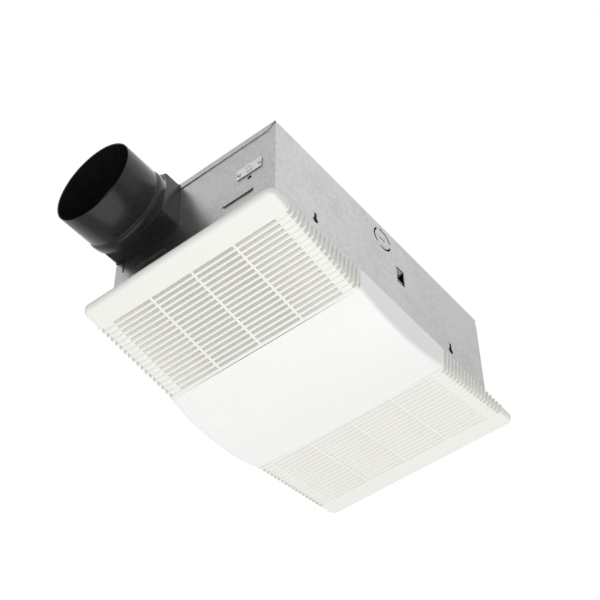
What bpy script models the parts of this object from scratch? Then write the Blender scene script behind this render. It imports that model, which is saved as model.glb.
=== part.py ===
"""Recessed bathroom heater, exhaust fan and light, seen as its separate pieces.

The origin is the middle of the ceiling opening, in the ceiling plane. +Z goes up into the
joist space, X runs along the long side, and the duct leaves through the wall at -X.
"""

import math

import bmesh
import bpy
from mathutils import Matrix, Vector

MM = 0.001
GAP = 0.3 * MM              # clearance between pieces that touch
OVER = 2.0 * MM             # how far a cutter runs past what it cuts
MERGE = 0.01 * MM

# Steel housing
HOUSING_LENGTH = 362 * MM
HOUSING_WIDTH = 216 * MM
HOUSING_HEIGHT = 146 * MM
SHEET = 1.0 * MM
LAP_HEIGHT = 8.5 * MM       # lap flange folded over an end wall
LAP_WIDTH = 10 * MM
LAP_FOOT = (22 * MM, 44 * MM, 58 * MM)  # width of the side lap's foot by the duct, and where it slants
KEYHOLE_OFFSET = 118 * MM   # from the middle of the wall
KEYHOLE_Z = 45 * MM
KEYHOLE_HEAD_R = 4.0 * MM
KEYHOLE_SLOT = 3.8 * MM
KEYHOLE_RISE = 11 * MM
KNOCKOUT_R = 14 * MM
KNOCKOUT_Z = 124 * MM
KNOCKOUT_SLIT = 1.2 * MM
LANCE_X = 30 * MM
LANCE_WIDTH = 13.5 * MM
LANCE_LOW = 77 * MM
LANCE_HEIGHT = 24 * MM
LANCE_TAB = 13 * MM
LANCE_ANGLE = 50            # degrees between the tab and the wall
LANCE_ROOM = 0.4 * MM       # from the tab's sides to the window's
TAB_THICK = 0.7 * MM
STRIP_PLACES = ((-59 * MM, 53.5 * MM, 1.6 * MM), (57.5 * MM, 56.5 * MM, -1.2 * MM))  # y, z and depth
STRIP_LENGTH = 42 * MM
STRIP_HEIGHT = 10.5 * MM
STRIP_SLIT = 1.8 * MM
STRIP_RAMP = 3 * MM         # length of a strip's slanted ends
WIRE_HOLE_R = 2.8 * MM
WIRE_HOLE_Z = 79 * MM

# Plate with a ringed button on the duct wall
BUTTON_PLATE_Y = -74.2 * MM
BUTTON_PLATE_Z = 92.5 * MM
BUTTON_PLATE_LENGTH = 33 * MM
BUTTON_PLATE_HEIGHT = 15.5 * MM
BUTTON_PLATE_THICK = 0.9 * MM
BUTTON_PLATE_CORNER = 2 * MM
BUTTON_SCREW_INSET = 3 * MM
BUTTON_RING_R = 4.2 * MM
BUTTON_RING_WALL = 1.0 * MM
BUTTON_RING_RISE = 0.6 * MM
BUTTON_FLOOR = 0.2 * MM     # the dish inside the ring, above the plate's face
SCREW_HEAD_R = 2.3 * MM
SCREW_HEAD_H = 1.4 * MM
SCREW_HEAD_TAPER = 0.6 * MM
PLATE_SCREW_R = 3.0 * MM    # head of an air plate's screw

# Duct connector
DUCT_Y = 66 * MM
BLOCK_WIDTH = 83.4 * MM
BLOCK_HEIGHT = 69.4 * MM
BLOCK_Z = 111 * MM
BLOCK_DEPTH = 23 * MM
BLOCK_CORNER = 5 * MM
BLOCK_DRAFT = 0.6 * MM      # taper of the block's sides
BLOCK_EDGE = 3 * MM         # slant round the block's outer face
BLOCK_WALL = 3.5 * MM
NECK_LENGTH = 8 * MM        # from the block to the neck behind the bead
NECK_STEP = 2 * MM          # how much narrower the neck is than the collar
COLLAR_R = 50.3 * MM
COLLAR_Z = 103 * MM
COLLAR_START = 42 * MM      # from the wall to the plain collar
COLLAR_END = 84 * MM
BEAD_R = 51.8 * MM
BEAD_PLACE = 6 * MM         # from the bead's crest to the plain collar
BEAD_HALF = 2 * MM
BEAD_DROP = 0.7 * MM        # how far its sides lie below the crest
GROOVE_R = 48.9 * MM
GROOVE_PLACES = (2.6 * MM, 1.2 * MM)    # start and end of its floor, from the plain collar
DUCT_WALL = 2.0 * MM
SPIGOT_WIDTH = 71 * MM      # tongue of the connector that enters the wall opening
SPIGOT_HEIGHT = 57 * MM
SPIGOT_DEPTH = 3.5 * MM
SPIGOT_CORNER = 2 * MM
STEP = 0.01 * MM            # length of a sudden step in a loft
FLAP_LAP = 3.5 * MM
FLAP_THICK = 1.5 * MM
FLAP_SEAT = 0.6 * MM        # from the closed flap to the back wall of the block
PIN_R = 1.5 * MM
PIN_END = 1.4 * MM          # from a pin's end to the outside of the block
SOCKET_DEPTH = 4 * MM       # of the pin's seat in the block's side
RUNNING = 0.35 * MM         # radial room round a turning pin
FLAP_CORNER = 9 * MM

# Grille
GRILLE_LENGTH = 413 * MM
GRILLE_WIDTH = 249 * MM
RIM_DEPTH = 6.4 * MM
FACE_SLOPE = 0.158
PLAN_CORNER = 8 * MM
END_ROUND = 4.5 * MM
FACE_WALL = 2.2 * MM
GRILLE_FOLD = 2.0 * MM      # rounding between the louvred face and the skirt
SKIRT_LEAN = 1.0 * MM       # how far the deepest skirt leans in at the face
RIB_PROUD = 1.1 * MM        # how far the skirt's ribs stand out beyond its plain ends
GROOVE_DEPTH = 3.5 * MM     # from the skirt's plain ends in to the grooves between the ribs
FIN_WIDTH = 2.4 * MM        # of a rib on the skirt, along the grille
SLOT_COUNT = 17
SLOT_PITCH = 6.33 * MM
SLOT_WIDTH = 3.6 * MM
SLOT_FIRST = 177.5 * MM
SLOT_MARGIN = 18.5 * MM     # from the ends of the slots to the grille's long edges
RIB_WIDTH = 2.8 * MM
RIB_SPACING = 54.3 * MM
FIN_DEPTH = 7 * MM
LENS_HALF = 71.2 * MM
LENS_LAP = 1.7 * MM         # how far the lens reaches past the grille's long edges
LENS_DEPTH = 39.5 * MM
LENS_EDGE_DEPTH = 27.4 * MM
LENS_FOLD = 11 * MM
LENS_WALL = 1.8 * MM
LENS_CROWN = 1.2 * MM
LENS_LEAN = 1 * MM          # of its skirts, from the ceiling down to the fold
RAIL_WIDTH = 3.5 * MM
RAIL_HEIGHT = 15 * MM
RAIL_TOP = 0.4 * MM
RAIL_INSET = 1 * MM         # behind the inside of the skirt
RAIL_ROOT = 2.8 * MM        # how far a rail runs into the louvred end

# Grille springs and their brackets
SPRING_WIRE_R = 0.8 * MM
SPRING_COIL_R = 3.9 * MM
SPRING_TURNS = 3
SPRING_PITCH = 2.1 * MM
SPRING_X = 172 * MM
SPRING_Z = 0.4 * MM
LEG_SPREAD = 14 * MM
LEG_TOP = 72 * MM
LEG_BEND = 11 * MM
HOOK = 5 * MM
LEG_ROOT = (0.2 * MM, 2.2 * MM) # where a leg leaves the coil, out and up from its edge
BRACKET_Z = 14 * MM
BRACKET_REACH = 8 * MM      # from the spring to the shelf's free edge
BRACKET_END = 6 * MM        # from a leg to the bracket's end
BRACKET_HEIGHT = 12 * MM
BRACKET_HOLE = 2.2 * MM
PEG_ROOM = 0.4 * MM         # between the coil and the peg in it
PEG_END = 2 * MM
LUG_HALF = 4 * MM
LUG_THICK = 2 * MM
LUG_ROOM = 2.2 * MM         # from the coil to the lug

# Air plates and scrolls
PLATE_Z = 79 * MM
PLATE_FLANGE = 10 * MM
SCROLL_TOP = 141 * MM
SCROLL_WALL = 1.2 * MM
MIDDLE_GAP = 6 * MM         # half the space between the two air plates
FAN_X = -98 * MM
FAN_Y = 22 * MM
FAN_WHEEL_R = 49 * MM
FAN_WHEEL_H = 50 * MM
HEAT_X = 95 * MM
HEAT_Y = -36 * MM
HEAT_WHEEL_R = 36 * MM
HEAT_WHEEL_H = 42 * MM
HEAT_OUT_X = (70 * MM, 159 * MM)
HEAT_OUT_Y = (28 * MM, 98 * MM)
OUTLET_INSET = 4 * MM       # from the scroll's outlet to the hole in the air plate
INLET_RING = 5 * MM
TONGUE_ROOM = 6 * MM         # from the wheel to the narrowest part of its scroll
WHEEL_LIFT = 5.5 * MM       # from the air plate to the wheel
HUB_R = 8 * MM
HUB_LENGTH = 16 * MM
DISC_THICK = 1.2 * MM
BAND_HEIGHT = 2.2 * MM      # ring that ties the blades at the inlet
BAND_INSET = (1 * MM, 2 * MM)   # from the blades' inner edges to the ring, below and above
BLADE_THICK = 0.9 * MM
BLADE_INSET = 0.6 * MM      # from the blades to the wheel's rim and disc
BLADE_INNER_SHARE = 0.84
BLADE_LEAN = 13             # degrees between a blade's root and its tip
INLET_SHARE = 0.86          # inlet ring against the wheel
SHAFT_R = 3.0 * MM
SHAFT_STUB = 6 * MM         # below the lower bearing
SHAFT_END = 0.8 * MM        # above the wheel

# Shaded-pole motors, under the air plates
CORE_THICK = 20 * MM
CORE_Z = 43 * MM            # underside of the lamination stack
CORE_HALF_X = 23 * MM
CORE_FRONT = 19 * MM
CORE_BACK = 50 * MM
CORE_CORNER = 4 * MM
BORE_R = 12.5 * MM
ROTOR_R = 12.0 * MM
WINDOW_HALF = 12.2 * MM
WINDOW_NEAR = 16.5 * MM
WINDOW_FAR = 38 * MM
COIL_BUILD = 9 * MM
COIL_CORNER = 5 * MM
COIL_END_ROOM = 0.8 * MM    # from the winding to the ends of its window
BEARING_R = 7.5 * MM
BEARING_H = 7 * MM
STRAP = 1.5 * MM
STRAP_WIDTH = 14 * MM
STRAP_FOOT = 7 * MM         # flat end of a bearing bracket
STRAP_STEP = 3 * MM         # rise of its middle above the stack
MOUNT_FOOT = 9 * MM         # flat end of a motor mount, beyond the inlet
MOUNT_SKEW = 0.8 * MM       # what a sloping sheet takes along its run

# Heating element
DUCT_BOX_LOW = 44 * MM
DUCT_BOX_INSET = 2 * MM     # from the scroll's outlet to the box under it
DUCT_BOX_FLANGE = 6 * MM
BOARD_INSET = 9 * MM        # from the scroll's outlet to a mica board
BOARD_HALF = 11 * MM
BOARD_ROOM = 1.3 * MM       # from the box's outside to the boards' ends
ROD_R = 1.6 * MM
ROD_INSET = 6 * MM
ROD_DROP = 7 * MM
COIL_RUNS = 3
COIL_TURNS = 8
COIL_R = 3.6 * MM
COIL_WIRE_R = 0.55 * MM
MICA = 1.0 * MM
CUTOUT_R = 8 * MM
CUTOUT_HEIGHT = 6 * MM
TAB_HALF = (0.5 * MM, 3 * MM)

# Light
TRAY_HALF_X = 56 * MM
TRAY_CLEARANCE = 8 * MM     # from the tray's rim to the inside of the long walls
TRAY_TOP = 66 * MM
TRAY_LOW = 3 * MM
TRAY_DRAFT = 8 * MM
TRAY_SHOULDER = (6 * MM, 5 * MM)    # height and width of the slant round the tray's roof
TRAY_CORNER = 7 * MM
TRAY_SHEET = 0.8 * MM
HANGER_PLACES = (-12 * MM, 12 * MM)
HANGER_HALF = 6 * MM
HANGER_LIFT = 20 * MM       # above the tray's rim
HANGER_ROOT = 1.8 * MM      # how far a hanger starts inside the tray's rim
BULB_R = 30 * MM
BULB_LENGTH = 74 * MM
BULB_NECK = ((13 * MM, 8 * MM), (18 * MM, 20 * MM), (24.5 * MM, 31 * MM))   # radius and height
BULB_Z = 28 * MM
SOCKET_R = 18 * MM
SOCKET_LENGTH = 34 * MM
SOCKET_FLOOR = 9 * MM
SOCKET_ROOM = 0.4 * MM      # from its back to the tray
SOCKET_BASE = (3 * MM, 8 * MM, 12 * MM) # how much narrower its base is, and where it widens
SOCKET_LIP = (1.6 * MM, 0.6 * MM)       # round the cap at the mouth and at the floor
CAP_R = 12.8 * MM
CAP_LENGTH = 24 * MM
CAP_CONTACT = ((4 * MM, 0), (4.5 * MM, 1.5 * MM), (9 * MM, 3.5 * MM))   # radius and height
CAP_THREADS = 4
CAP_THREAD_START = 4.5 * MM
CAP_THREAD_PITCH = 4 * MM
CAP_THREAD_DEPTH = 1 * MM
CAP_EDGE = 2 * MM           # height of its rolled edge
CAP_ROLL = 0.6 * MM         # what that edge takes off its radius

# Wiring compartment
WIRING_X = (-32 * MM, 44 * MM)
WIRING_Y = 31 * MM
WIRING_LOW = 82 * MM
WIRING_TOP = 140 * MM
PLUG_COUNT = 3
PLUG_HALF = (6.6 * MM, 4.6 * MM)        # body of a receptacle, across and up
PLUG_DEPTH = 12 * MM
PLUG_ROOM = 0.4 * MM                    # round it in the cover
BEZEL_HALF = (8.5 * MM, 6.5 * MM)
BEZEL_THICK = 2 * MM
BLADE_PITCH = 3.8 * MM
BLADE_HALF = (0.6 * MM, 2.2 * MM)
BLADE_DEPTH = 6 * MM
GROUND_SCREW_R = 4.5 * MM
GROUND_SCREW_H = 4 * MM
GROUND_SCREW_PLACE = 12 * MM            # from the cover's end

END_WALL = HOUSING_LENGTH / 2
SIDE_WALL = HOUSING_WIDTH / 2
GRILLE_X = GRILLE_LENGTH / 2
GRILLE_Y = GRILLE_WIDTH / 2
SLOT_HALF = GRILLE_Y - SLOT_MARGIN
GROOVE_FLOOR = GRILLE_Y - GROOVE_DEPTH
LENS_HALF_WIDTH = GRILLE_Y + LENS_LAP
TRAY_HALF_Y = SIDE_WALL - SHEET - TRAY_CLEARANCE

PARTS = bpy.data.collections.new("heater_exhaust_fan")
CUTTERS = bpy.data.collections.new("cutters")


def clear_scene():
    """Remove the objects of the start scene and link the two collections."""
    for obj in list(bpy.data.objects):
        bpy.data.objects.remove(obj, do_unlink=True)
    for collection in (PARTS, CUTTERS):
        bpy.context.scene.collection.children.link(collection)


def make_material(name, colour, roughness, metallic=0.0, alpha=1.0):
    """Principled material with a linear colour."""
    material = bpy.data.materials.new(name)
    material.use_nodes = True
    shader = material.node_tree.nodes["Principled BSDF"]
    shader.inputs["Base Color"].default_value = (*colour, 1.0)
    shader.inputs["Roughness"].default_value = roughness
    shader.inputs["Metallic"].default_value = metallic
    shader.inputs["Alpha"].default_value = alpha
    material.diffuse_color = (*colour, alpha)
    return material


def new_object(name, mesh, material=None):
    """Object in the parts collection, or in the cutters when it has no material."""
    obj = bpy.data.objects.new(name, mesh)
    if material is None:
        CUTTERS.objects.link(obj)
        obj.hide_render = True
        obj.display_type = "WIRE"
    else:
        PARTS.objects.link(obj)
        obj.data.materials.append(material)
    return obj


def mesh_from(bm, name):
    """Write a bmesh to a new mesh with its faces pointing out."""
    bmesh.ops.recalc_face_normals(bm, faces=bm.faces)
    mesh = bpy.data.meshes.new(name)
    bm.to_mesh(mesh)
    bm.free()
    return mesh


def add_box(bm, low, high):
    """Add a box between two corners to a bmesh."""
    low, high = Vector(low), Vector(high)
    place = Matrix.Translation((low + high) / 2) @ Matrix.Diagonal((*(high - low), 1.0))
    bmesh.ops.create_cube(bm, size=1.0, matrix=place)


def add_cylinder(bm, centre, radius, length, axis="Z", sides=24, tip=None):
    """Add a cylinder, or a cone with a tip radius, centred on a point along an axis."""
    turn = {"X": Matrix.Rotation(math.pi / 2, 4, "Y"),
            "Y": Matrix.Rotation(-math.pi / 2, 4, "X"),
            "Z": Matrix.Identity(4)}[axis]
    bmesh.ops.create_cone(bm, cap_ends=True, segments=sides, radius1=radius,
                          radius2=radius if tip is None else tip, depth=length,
                          matrix=Matrix.Translation(centre) @ turn)


def add_loft(bm, rings, closed=False):
    """Skin rings of equal count; an open loft is capped, a closed one joins its ends."""
    rows = [[bm.verts.new(point) for point in ring] for ring in rings]
    pairs = list(zip(rows, rows[1:]))
    if closed:
        pairs.append((rows[-1], rows[0]))
    for one, two in pairs:
        for i in range(len(one)):
            j = (i + 1) % len(one)
            bm.faces.new((one[i], one[j], two[j], two[i]))
    if not closed:
        bm.faces.new(rows[0])
        bm.faces.new(rows[-1])


def add_prism(bm, outline, start, end, axis):
    """Prism of a flat outline between two places along an axis.

    The outline's pairs are (x, y) for axis Z, (x, z) for axis Y and (y, z) for axis X.
    """
    curve = bpy.data.curves.new("outline", "CURVE")
    curve.dimensions = "2D"
    curve.fill_mode = "BOTH"
    curve.extrude = abs(end - start) / 2
    spline = curve.splines.new("POLY")
    spline.points.add(len(outline) - 1)
    for target, (u, v) in zip(spline.points, outline):
        target.co = (u, v, 0.0, 1.0)
    spline.use_cyclic_u = True
    holder = bpy.data.objects.new("outline", curve)
    mesh = bpy.data.meshes.new_from_object(holder)
    middle = (start + end) / 2
    turn = {"X": Matrix(((0, 0, 1, middle), (1, 0, 0, 0), (0, 1, 0, 0), (0, 0, 0, 1))),
            "Y": Matrix(((1, 0, 0, 0), (0, 0, 1, middle), (0, 1, 0, 0), (0, 0, 0, 1))),
            "Z": Matrix.Translation((0, 0, middle))}[axis]
    prism = bmesh.new()
    prism.from_mesh(mesh)
    bmesh.ops.remove_doubles(prism, verts=prism.verts, dist=MERGE)
    prism.to_mesh(mesh)
    prism.free()
    mesh.transform(turn)
    bm.from_mesh(mesh)
    bpy.data.objects.remove(holder)
    bpy.data.curves.remove(curve)
    bpy.data.meshes.remove(mesh)


def arc(centre, radius, start, end, steps):
    """Points of an arc, in degrees, ends included."""
    angles = [math.radians(start + (end - start) * i / steps) for i in range(steps + 1)]
    return [(centre[0] + radius * math.cos(a), centre[1] + radius * math.sin(a)) for a in angles]


def rounded_rectangle(half_u, half_v, radius, steps=3, centre=(0.0, 0.0)):
    """Outline of a rectangle with round corners, anticlockwise from its right side."""
    points = []
    for k, (su, sv) in enumerate(((1, 1), (-1, 1), (-1, -1), (1, -1))):
        middle = (centre[0] + su * (half_u - radius), centre[1] + sv * (half_v - radius))
        points += arc(middle, radius, 90 * k, 90 * k + 90, steps)
    return points


def solid(name, build, material=None):
    """Object whose mesh is made by a function that fills a bmesh."""
    bm = bmesh.new()
    build(bm)
    return new_object(name, mesh_from(bm, name), material)


def boolean(obj, build, name, operation="DIFFERENCE"):
    """Cut or join an object with a helper solid."""
    helper = solid(name, build)
    modifier = obj.modifiers.new(name, "BOOLEAN")
    modifier.operation = operation
    modifier.solver = "EXACT"
    modifier.object = helper
    return modifier


def put_origin(obj, point):
    """Move an object's origin to its joint's axis, with its shape left where it is."""
    obj.data.transform(Matrix.Translation(-Vector(point)))
    obj.location = point


def shade_round(obj, angle=35):
    """Shade smooth below an angle."""
    obj.data.shade_smooth()
    obj.data.set_sharp_from_angle(angle=math.radians(angle))


def turned(name, profile, centre, material=None, sides=32, axis="Z"):
    """Turn a closed profile of (radius, height) pairs round an axis with Screw."""
    following = profile[1:] + profile[:1]
    upward = sum(a[0] * b[1] - b[0] * a[1] for a, b in zip(profile, following)) > 0
    if upward:
        profile = profile[::-1]
    bm = bmesh.new()
    verts = [bm.verts.new((r, 0.0, h)) for r, h in profile]
    for vert, other in zip(verts, verts[1:] + verts[:1]):
        if vert.co.x > 0 or other.co.x > 0:
            bm.edges.new((vert, other))
    mesh = bpy.data.meshes.new(name)
    bm.to_mesh(mesh)
    bm.free()
    obj = new_object(name, mesh, material)
    obj.location = centre
    if axis == "Y":
        obj.rotation_euler = (-math.pi / 2, 0.0, 0.0)
    screw = obj.modifiers.new("turn", "SCREW")
    screw.steps = sides
    screw.render_steps = sides
    screw.use_merge_vertices = True
    screw.merge_threshold = MERGE
    return obj


def wire(name, points, radius, material, resolution=1):
    """Round wire along points, as a curve with filled caps."""
    curve = bpy.data.curves.new(name, "CURVE")
    curve.dimensions = "3D"
    curve.bevel_depth = radius
    curve.bevel_resolution = resolution
    curve.use_fill_caps = True
    spline = curve.splines.new("POLY")
    spline.points.add(len(points) - 1)
    for target, point in zip(spline.points, points):
        target.co = (*point, 1.0)
    obj = bpy.data.objects.new(name, curve)
    PARTS.objects.link(obj)
    curve.materials.append(material)
    return obj


def least_gap(points, radius, skip):
    """Least clear distance of a wire to itself, measured on its points."""
    best = math.inf
    for i, one in enumerate(points):
        for two in points[i + skip:]:
            best = min(best, (Vector(one) - Vector(two)).length - 2 * radius)
    return best


def face_depth(x):
    """Depth of the louvred face below the ceiling plane."""
    return RIM_DEPTH + FACE_SLOPE * (GRILLE_X - abs(x))


def inset_range(span, inset):
    """Pair of places moved in from both ends of a span."""
    return span[0] + inset, span[1] - inset


# Housing

def keyhole_places():
    """Middles of the four keyholes, two in each long wall."""
    return [(x, y) for x in (-KEYHOLE_OFFSET, KEYHOLE_OFFSET) for y in (-SIDE_WALL, SIDE_WALL)]


def keyhole_heads(bm):
    """Round lower part of each keyhole."""
    for x, y in keyhole_places():
        add_cylinder(bm, (x, y, KEYHOLE_Z), KEYHOLE_HEAD_R, 4 * OVER, "Y", 14)


def keyhole_slots(bm):
    """Narrow upper part of each keyhole."""
    half = KEYHOLE_SLOT / 2
    for x, y in keyhole_places():
        add_box(bm, (x - half, y - 2 * OVER, KEYHOLE_Z), (x + half, y + 2 * OVER, KEYHOLE_Z + KEYHOLE_RISE))


def knockout_slits(bm):
    """Three arc slits and a pry slot round the knockout in the front wall."""
    outer = KNOCKOUT_R + KNOCKOUT_SLIT / 2
    inner = KNOCKOUT_R - KNOCKOUT_SLIT / 2
    for k in range(3):
        start = 120 * k + 12
        end = start + 96
        outline = arc((0, KNOCKOUT_Z), outer, start, end, 6)
        outline += arc((0, KNOCKOUT_Z), inner, end, start, 6)
        add_prism(bm, outline, -SIDE_WALL - OVER, -SIDE_WALL + OVER, "Y")
    pry = [(-4.5 * MM, -0.8 * MM), (4.5 * MM, -0.8 * MM), (4.5 * MM, 0.8 * MM), (-4.5 * MM, 0.8 * MM)]
    add_prism(bm, [(u, KNOCKOUT_Z + v) for u, v in pry], -SIDE_WALL - OVER, -SIDE_WALL + OVER, "Y")


def wall_windows(bm):
    """Duct opening, lanced window, wire hole and the slits of the long strips."""
    half_y = SPIGOT_WIDTH / 2 + GAP
    half_z = SPIGOT_HEIGHT / 2 + GAP
    add_box(bm, (-END_WALL - OVER, DUCT_Y - half_y, BLOCK_Z - half_z),
            (-END_WALL + OVER, DUCT_Y + half_y, BLOCK_Z + half_z))
    add_box(bm, (LANCE_X - LANCE_WIDTH / 2, -SIDE_WALL - OVER, LANCE_LOW),
            (LANCE_X + LANCE_WIDTH / 2, -SIDE_WALL + OVER, LANCE_LOW + LANCE_HEIGHT))
    add_cylinder(bm, (-END_WALL, BUTTON_PLATE_Y, WIRE_HOLE_Z), WIRE_HOLE_R, 2 * OVER, "X", 16)
    for y, z, _ in STRIP_PLACES:
        for edge in (-1, 1):
            middle = z + edge * STRIP_HEIGHT / 2
            add_box(bm, (-END_WALL - OVER, y - STRIP_LENGTH / 2, middle - STRIP_SLIT / 2),
                    (-END_WALL + OVER, y + STRIP_LENGTH / 2, middle + STRIP_SLIT / 2))


def strip_bands(bm):
    """The flat band between each pair of slits is cut out where it is pressed inwards."""
    for y, z, depth in STRIP_PLACES:
        if depth > 0:
            half_z = (STRIP_HEIGHT - STRIP_SLIT) / 2 + GAP
            add_box(bm, (-END_WALL - OVER, y - STRIP_LENGTH / 2, z - half_z),
                    (-END_WALL + OVER, y + STRIP_LENGTH / 2, z + half_z))


def strip_bridges(bm):
    """The pressed band of each long slot, one inwards and one outwards."""
    half_z = (STRIP_HEIGHT - STRIP_SLIT) / 2
    thick = SHEET / 2
    for y, z, depth in STRIP_PLACES:
        near = y - STRIP_LENGTH / 2
        far = y + STRIP_LENGTH / 2
        root = thick if depth > 0 else 0.0
        front = [(near - root, 0), (near + STRIP_RAMP, depth), (far - STRIP_RAMP, depth), (far + root, 0)]
        back = [(far + root, thick), (far - STRIP_RAMP, depth + thick), (near + STRIP_RAMP, depth + thick),
                (near - root, thick)]
        add_prism(bm, [(-END_WALL + v, u) for u, v in front + back], z - half_z, z + half_z, "Z")


def lap_flanges(bm):
    """Laps of the top and of the side walls over both end walls."""
    out = END_WALL + SHEET
    deep = END_WALL - SHEET / 2
    top = HOUSING_HEIGHT
    duct_near = DUCT_Y - BLOCK_WIDTH / 2 - 2 * MM
    mitre = LAP_HEIGHT + 2 * MM
    duct_lap = [(-SIDE_WALL, top), (duct_near, top), (duct_near, top - LAP_HEIGHT),
                (-SIDE_WALL + mitre, top - LAP_HEIGHT)]
    add_prism(bm, duct_lap, -out, -deep, "X")
    far_lap = [(-SIDE_WALL, top), (SIDE_WALL, top), (SIDE_WALL - mitre, top - LAP_HEIGHT),
               (-SIDE_WALL + mitre, top - LAP_HEIGHT)]
    add_prism(bm, far_lap, deep, out, "X")
    block_low = BLOCK_Z - BLOCK_HEIGHT / 2 - 1.5 * MM
    foot, foot_top, slant_top = LAP_FOOT
    side_lap = [(SIDE_WALL - foot, 0), (SIDE_WALL, 0), (SIDE_WALL, block_low),
                (SIDE_WALL - LAP_WIDTH, block_low), (SIDE_WALL - LAP_WIDTH, slant_top),
                (SIDE_WALL - foot, foot_top)]
    add_prism(bm, side_lap, -out, -deep, "X")


def far_side_laps(bm):
    """Side laps on the far end wall, under the mitred top lap."""
    out = END_WALL + SHEET
    deep = END_WALL - SHEET / 2
    top = HOUSING_HEIGHT - LAP_HEIGHT - 1 * MM
    for side in (-1, 1):
        outline = [(side * (SIDE_WALL - LAP_WIDTH), 0), (side * SIDE_WALL, 0),
                   (side * SIDE_WALL, top), (side * (SIDE_WALL - LAP_WIDTH), top)]
        add_prism(bm, outline, deep, out, "X")


def lance_tab(bm):
    """Tab of the lanced window, bent inwards from its top edge."""
    half = LANCE_WIDTH / 2 - LANCE_ROOM
    root = LANCE_LOW + LANCE_HEIGHT + TAB_THICK
    reach_y = LANCE_TAB * math.sin(math.radians(LANCE_ANGLE))
    reach_z = LANCE_TAB * math.cos(math.radians(LANCE_ANGLE))
    outer = -SIDE_WALL + SHEET / 4
    outline = [(outer, root), (outer + TAB_THICK, root + TAB_THICK / 2),
               (outer + reach_y + TAB_THICK, root - reach_z + TAB_THICK), (outer + reach_y, root - reach_z)]
    add_prism(bm, outline, LANCE_X - half, LANCE_X + half, "X")


def housing_shell(steel):
    """Five-sided box, open downwards, with its laps, keyholes and openings."""
    bm = bmesh.new()
    add_box(bm, (-END_WALL, -SIDE_WALL, 0), (END_WALL, SIDE_WALL, HOUSING_HEIGHT))
    floor = [face for face in bm.faces if face.calc_center_median().z < MM]
    bmesh.ops.delete(bm, geom=floor, context="FACES_ONLY")
    mesh = bpy.data.meshes.new("housing_shell")
    bm.to_mesh(mesh)
    bm.free()
    shell = new_object("housing_shell", mesh, steel)
    wall = shell.modifiers.new("sheet", "SOLIDIFY")
    wall.thickness = SHEET
    wall.offset = -1.0
    wall.use_even_offset = True
    boolean(shell, lap_flanges, "laps", "UNION")
    boolean(shell, far_side_laps, "far_laps", "UNION")
    boolean(shell, wall_windows, "windows")
    boolean(shell, strip_bands, "strip_bands")
    boolean(shell, strip_bridges, "strip_bridges", "UNION")
    boolean(shell, lance_tab, "tab", "UNION")
    boolean(shell, knockout_slits, "knockout")
    boolean(shell, keyhole_heads, "keyhole_heads")
    boolean(shell, keyhole_slots, "keyhole_slots")
    return shell


def button_plate(material):
    """Small bright plate on the duct wall, with a raised ring in its middle."""
    x = -END_WALL - GAP
    outline = rounded_rectangle(BUTTON_PLATE_LENGTH / 2, BUTTON_PLATE_HEIGHT / 2, BUTTON_PLATE_CORNER, 3,
                                (BUTTON_PLATE_Y, BUTTON_PLATE_Z))
    plate = solid("button_plate", lambda bm: add_prism(bm, outline, x - BUTTON_PLATE_THICK, x, "X"), material)
    ring_x = x - BUTTON_PLATE_THICK

    def ring(bm):
        middle = (ring_x, BUTTON_PLATE_Y, BUTTON_PLATE_Z)
        add_cylinder(bm, middle, BUTTON_RING_R, 2 * BUTTON_RING_RISE, "X", 24)

    def dish(bm):
        middle = (ring_x - BUTTON_FLOOR - OVER / 2, BUTTON_PLATE_Y, BUTTON_PLATE_Z)
        add_cylinder(bm, middle, BUTTON_RING_R - BUTTON_RING_WALL, OVER, "X", 24)

    boolean(plate, ring, "button_ring", "UNION")
    boolean(plate, dish, "button_dish")
    return plate


def button_plate_screw(name, side, material):
    """Round head of a screw that holds the small plate."""
    x = -END_WALL - GAP - BUTTON_PLATE_THICK - GAP
    y = BUTTON_PLATE_Y + side * (BUTTON_PLATE_LENGTH / 2 - BUTTON_SCREW_INSET)

    def head(bm):
        add_cylinder(bm, (x - SCREW_HEAD_H / 2, y, BUTTON_PLATE_Z), SCREW_HEAD_R - SCREW_HEAD_TAPER,
                     SCREW_HEAD_H, "X", 16, SCREW_HEAD_R)

    return solid(name, head, material)


# Duct connector and damper

def section_ring(x, half_y, half_z, radius, middle_z, steps=7):
    """Ring of points across the duct, a rounded rectangle or a circle."""
    outline = rounded_rectangle(half_y, half_z, min(radius, half_y, half_z), steps, (DUCT_Y, middle_z))
    return [(x, y, z) for y, z in outline]


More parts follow.
